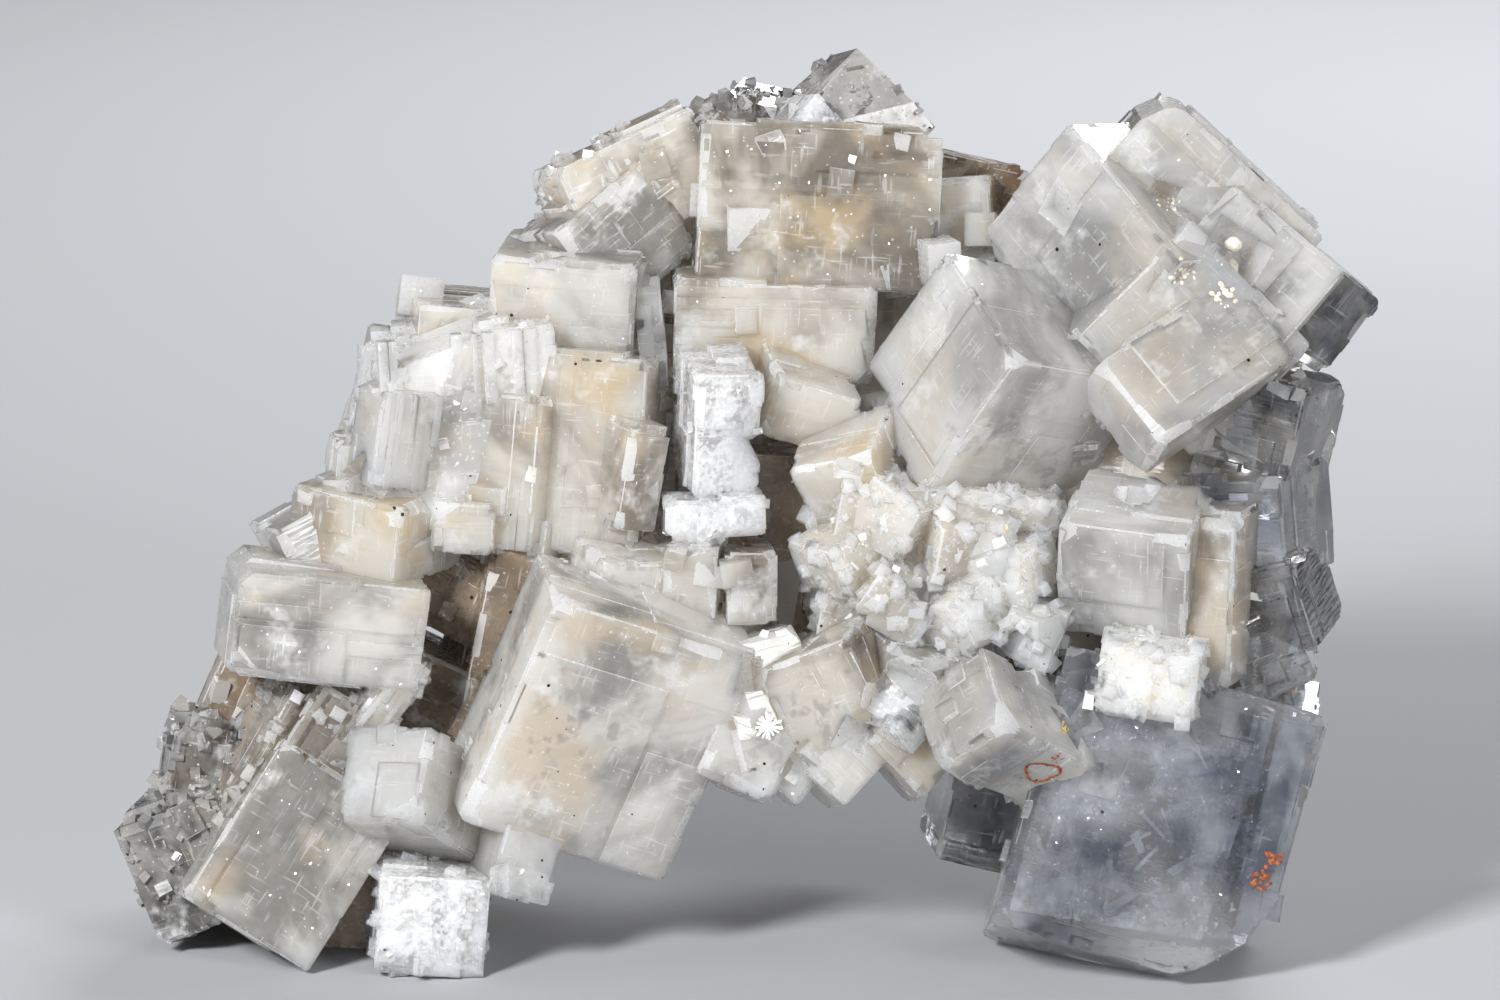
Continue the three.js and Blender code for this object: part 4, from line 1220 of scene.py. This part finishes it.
veils = [in_block((-0.1, -0.72, -0.1), (23, 0.1, 24)), in_block((0.1, -0.3, 0.0), (24, 0.1, 25)),
         in_block((-0.5, 0, 0), (0.1, 15, 24))]
heap("sealed_veils", veils, veil_material(), "block")
POCKET = plain_material("brine_pocket", (0.75, 0.78, 0.82), (1, 1, 1), 1500.0, 0.08, 0.5)
pockets = []
for _ in range(150):
    row = (random.choice((-0.62, -0.45, -0.1, 0.2, 0.42, 0.6)) + random.gauss(0, 0.05),
           random.uniform(-0.85, 0.2), random.uniform(-0.8, 0.8))
    if random.random() < 0.5:
        row = (row[2], row[1], row[0])
    pockets.append(in_block(row, [random.uniform(0.15, 0.9), 0.08, random.uniform(0.15, 0.7)]))
heap("sealed_brine_pockets", pockets, POCKET, "block")
CRACK = plain_material("crack_glint", (0.9, 0.92, 0.95), (1, 1, 1), 700.0, 0.2, 0.3)
cracks = []
for _ in range(16):
    middle = (random.uniform(-0.5, 0.7), random.uniform(-0.85, -0.2), random.uniform(-0.75, 0.2))
    extent = (random.uniform(0.8, 4.5), 0.05, random.uniform(0.2, 1.1))
    cracks.append(in_block(middle, extent, 0.9))
heap("sealed_cracks", cracks, CRACK, "block")

# %% [markdown]
# ## The clay pellets
# Two pellets of pale clay are stuck in a hollow of the upper right crystal. The model's pellets
# are plain lumps, so each is replaced with one whose skin is crumbly. Sculpting would do it too; a
# sum of three sine waves on a round ball is quicker and comes out the same each time.

# %% Model the clay pellets


def clay_material():
    material = bpy.data.materials.new("pale_clay")
    material.use_nodes = True
    tree = material.node_tree
    shader = tree.nodes["Principled BSDF"]
    place = add_node(tree, "ShaderNodeTexCoord").outputs["Object"]
    grain = add_node(tree, "ShaderNodeTexNoise",
                     {"Vector": place, "Scale": 2600.0, "Detail": 5.0, "Roughness": 0.7})
    colour = blend_colour(tree, ranged(tree, grain.outputs["Fac"], 0.35, 0.65),
                          (0.66, 0.60, 0.50), (0.86, 0.83, 0.76))
    bump = add_node(tree, "ShaderNodeBump", {"Strength": 0.6, "Distance": 0.0001,
                                             "Height": grain.outputs["Fac"]})
    tree.links.new(colour, shader.inputs["Base Color"])
    tree.links.new(bump.outputs[0], shader.inputs["Normal"])
    shader.inputs["Roughness"].default_value = 0.95
    return material


CLAY = clay_material()


def crumbly_pellet(node, name, seed):
    low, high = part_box(node)
    centre, reach = (low + high) / 2, (high - low) / 2
    bpy.ops.mesh.primitive_ico_sphere_add(subdivisions=4, radius=1)
    pellet = bpy.context.object
    pellet.name = name
    pellet.data.name = name
    for vertex in pellet.data.vertices:
        p = vertex.co
        wobble = sum(math.sin(p.x * a + seed) * math.sin(p.y * b - seed) * math.cos(p.z * c) / a
                     for a, b, c in ((3, 4, 2.5), (7, 6, 8), (13, 15, 12)))
        vertex.co = p * (0.9 + 0.22 * wobble)
    pellet.data.transform(Matrix.Translation(centre) @ Matrix.Diagonal((*reach, 1)))
    pellet.data.materials.append(CLAY)
    bpy.ops.object.shade_smooth_by_angle(angle=math.radians(35))
    bpy.ops.object.select_all(action="DESELECT")
    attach(pellet, "root")
    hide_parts(node)
    return pellet


for node, seed in (("clay_pellet_upper", 1.3), ("clay_pellet_lower", 4.1)):
    pellet = crumbly_pellet(node, node.replace("clay_pellet", "crumbly_pellet"), seed)
    print(pellet.name, len(pellet.data.polygons), "faces")

# %% [markdown]
# ## Floor and light
# A plain pale floor, a soft light from the upper left that is small enough to glint on flat faces,
# a weaker one from the right, a wide one behind that shines through the thin edges, and an even,
# dim world. One big light alone would be softer, but salt needs glints to look like salt.

# %% Set the floor and the lights
bpy.ops.mesh.primitive_plane_add(size=6, location=(0, 0, -0.0001))
floor = bpy.context.object
floor.name = "floor"
floor_material = bpy.data.materials.new("pale_floor")
floor_material.use_nodes = True
floor_shader = floor_material.node_tree.nodes["Principled BSDF"]
floor_shader.inputs["Base Color"].default_value = (0.43, 0.44, 0.46, 1)
floor_shader.inputs["Roughness"].default_value = 0.85
floor_shader.inputs["Specular IOR Level"].default_value = 0.0
floor.data.materials.append(floor_material)

world = bpy.data.worlds.new("studio")
world.use_nodes = True
world.node_tree.nodes["Background"].inputs["Color"].default_value = (0.95, 0.97, 1, 1)
world.node_tree.nodes["Background"].inputs["Strength"].default_value = 0.1
bpy.context.scene.world = world
bpy.context.scene.view_settings.view_transform = "Standard"


def soft_light(name, place, aim, size, power, colour=(1, 1, 1)):
    data = bpy.data.lights.new(name, "AREA")
    data.shape = "RECTANGLE"
    data.size, data.size_y = size
    data.energy = power
    data.color = colour
    light = bpy.data.objects.new(name, data)
    bpy.context.scene.collection.objects.link(light)
    light.location = place
    light.rotation_euler = (Vector(aim) - Vector(place)).to_track_quat("-Z", "Y").to_euler()
    return light


MIDDLE = (0, 0, 0.045)
soft_light("key", (-0.5, -0.75, 0.55), MIDDLE, (0.22, 0.22), 14.5)
soft_light("fill", (0.6, -0.8, 0.3), MIDDLE, (0.3, 0.4), 5.5)
soft_light("back", (0.25, 0.7, 0.55), MIDDLE, (0.5, 0.3), 7)
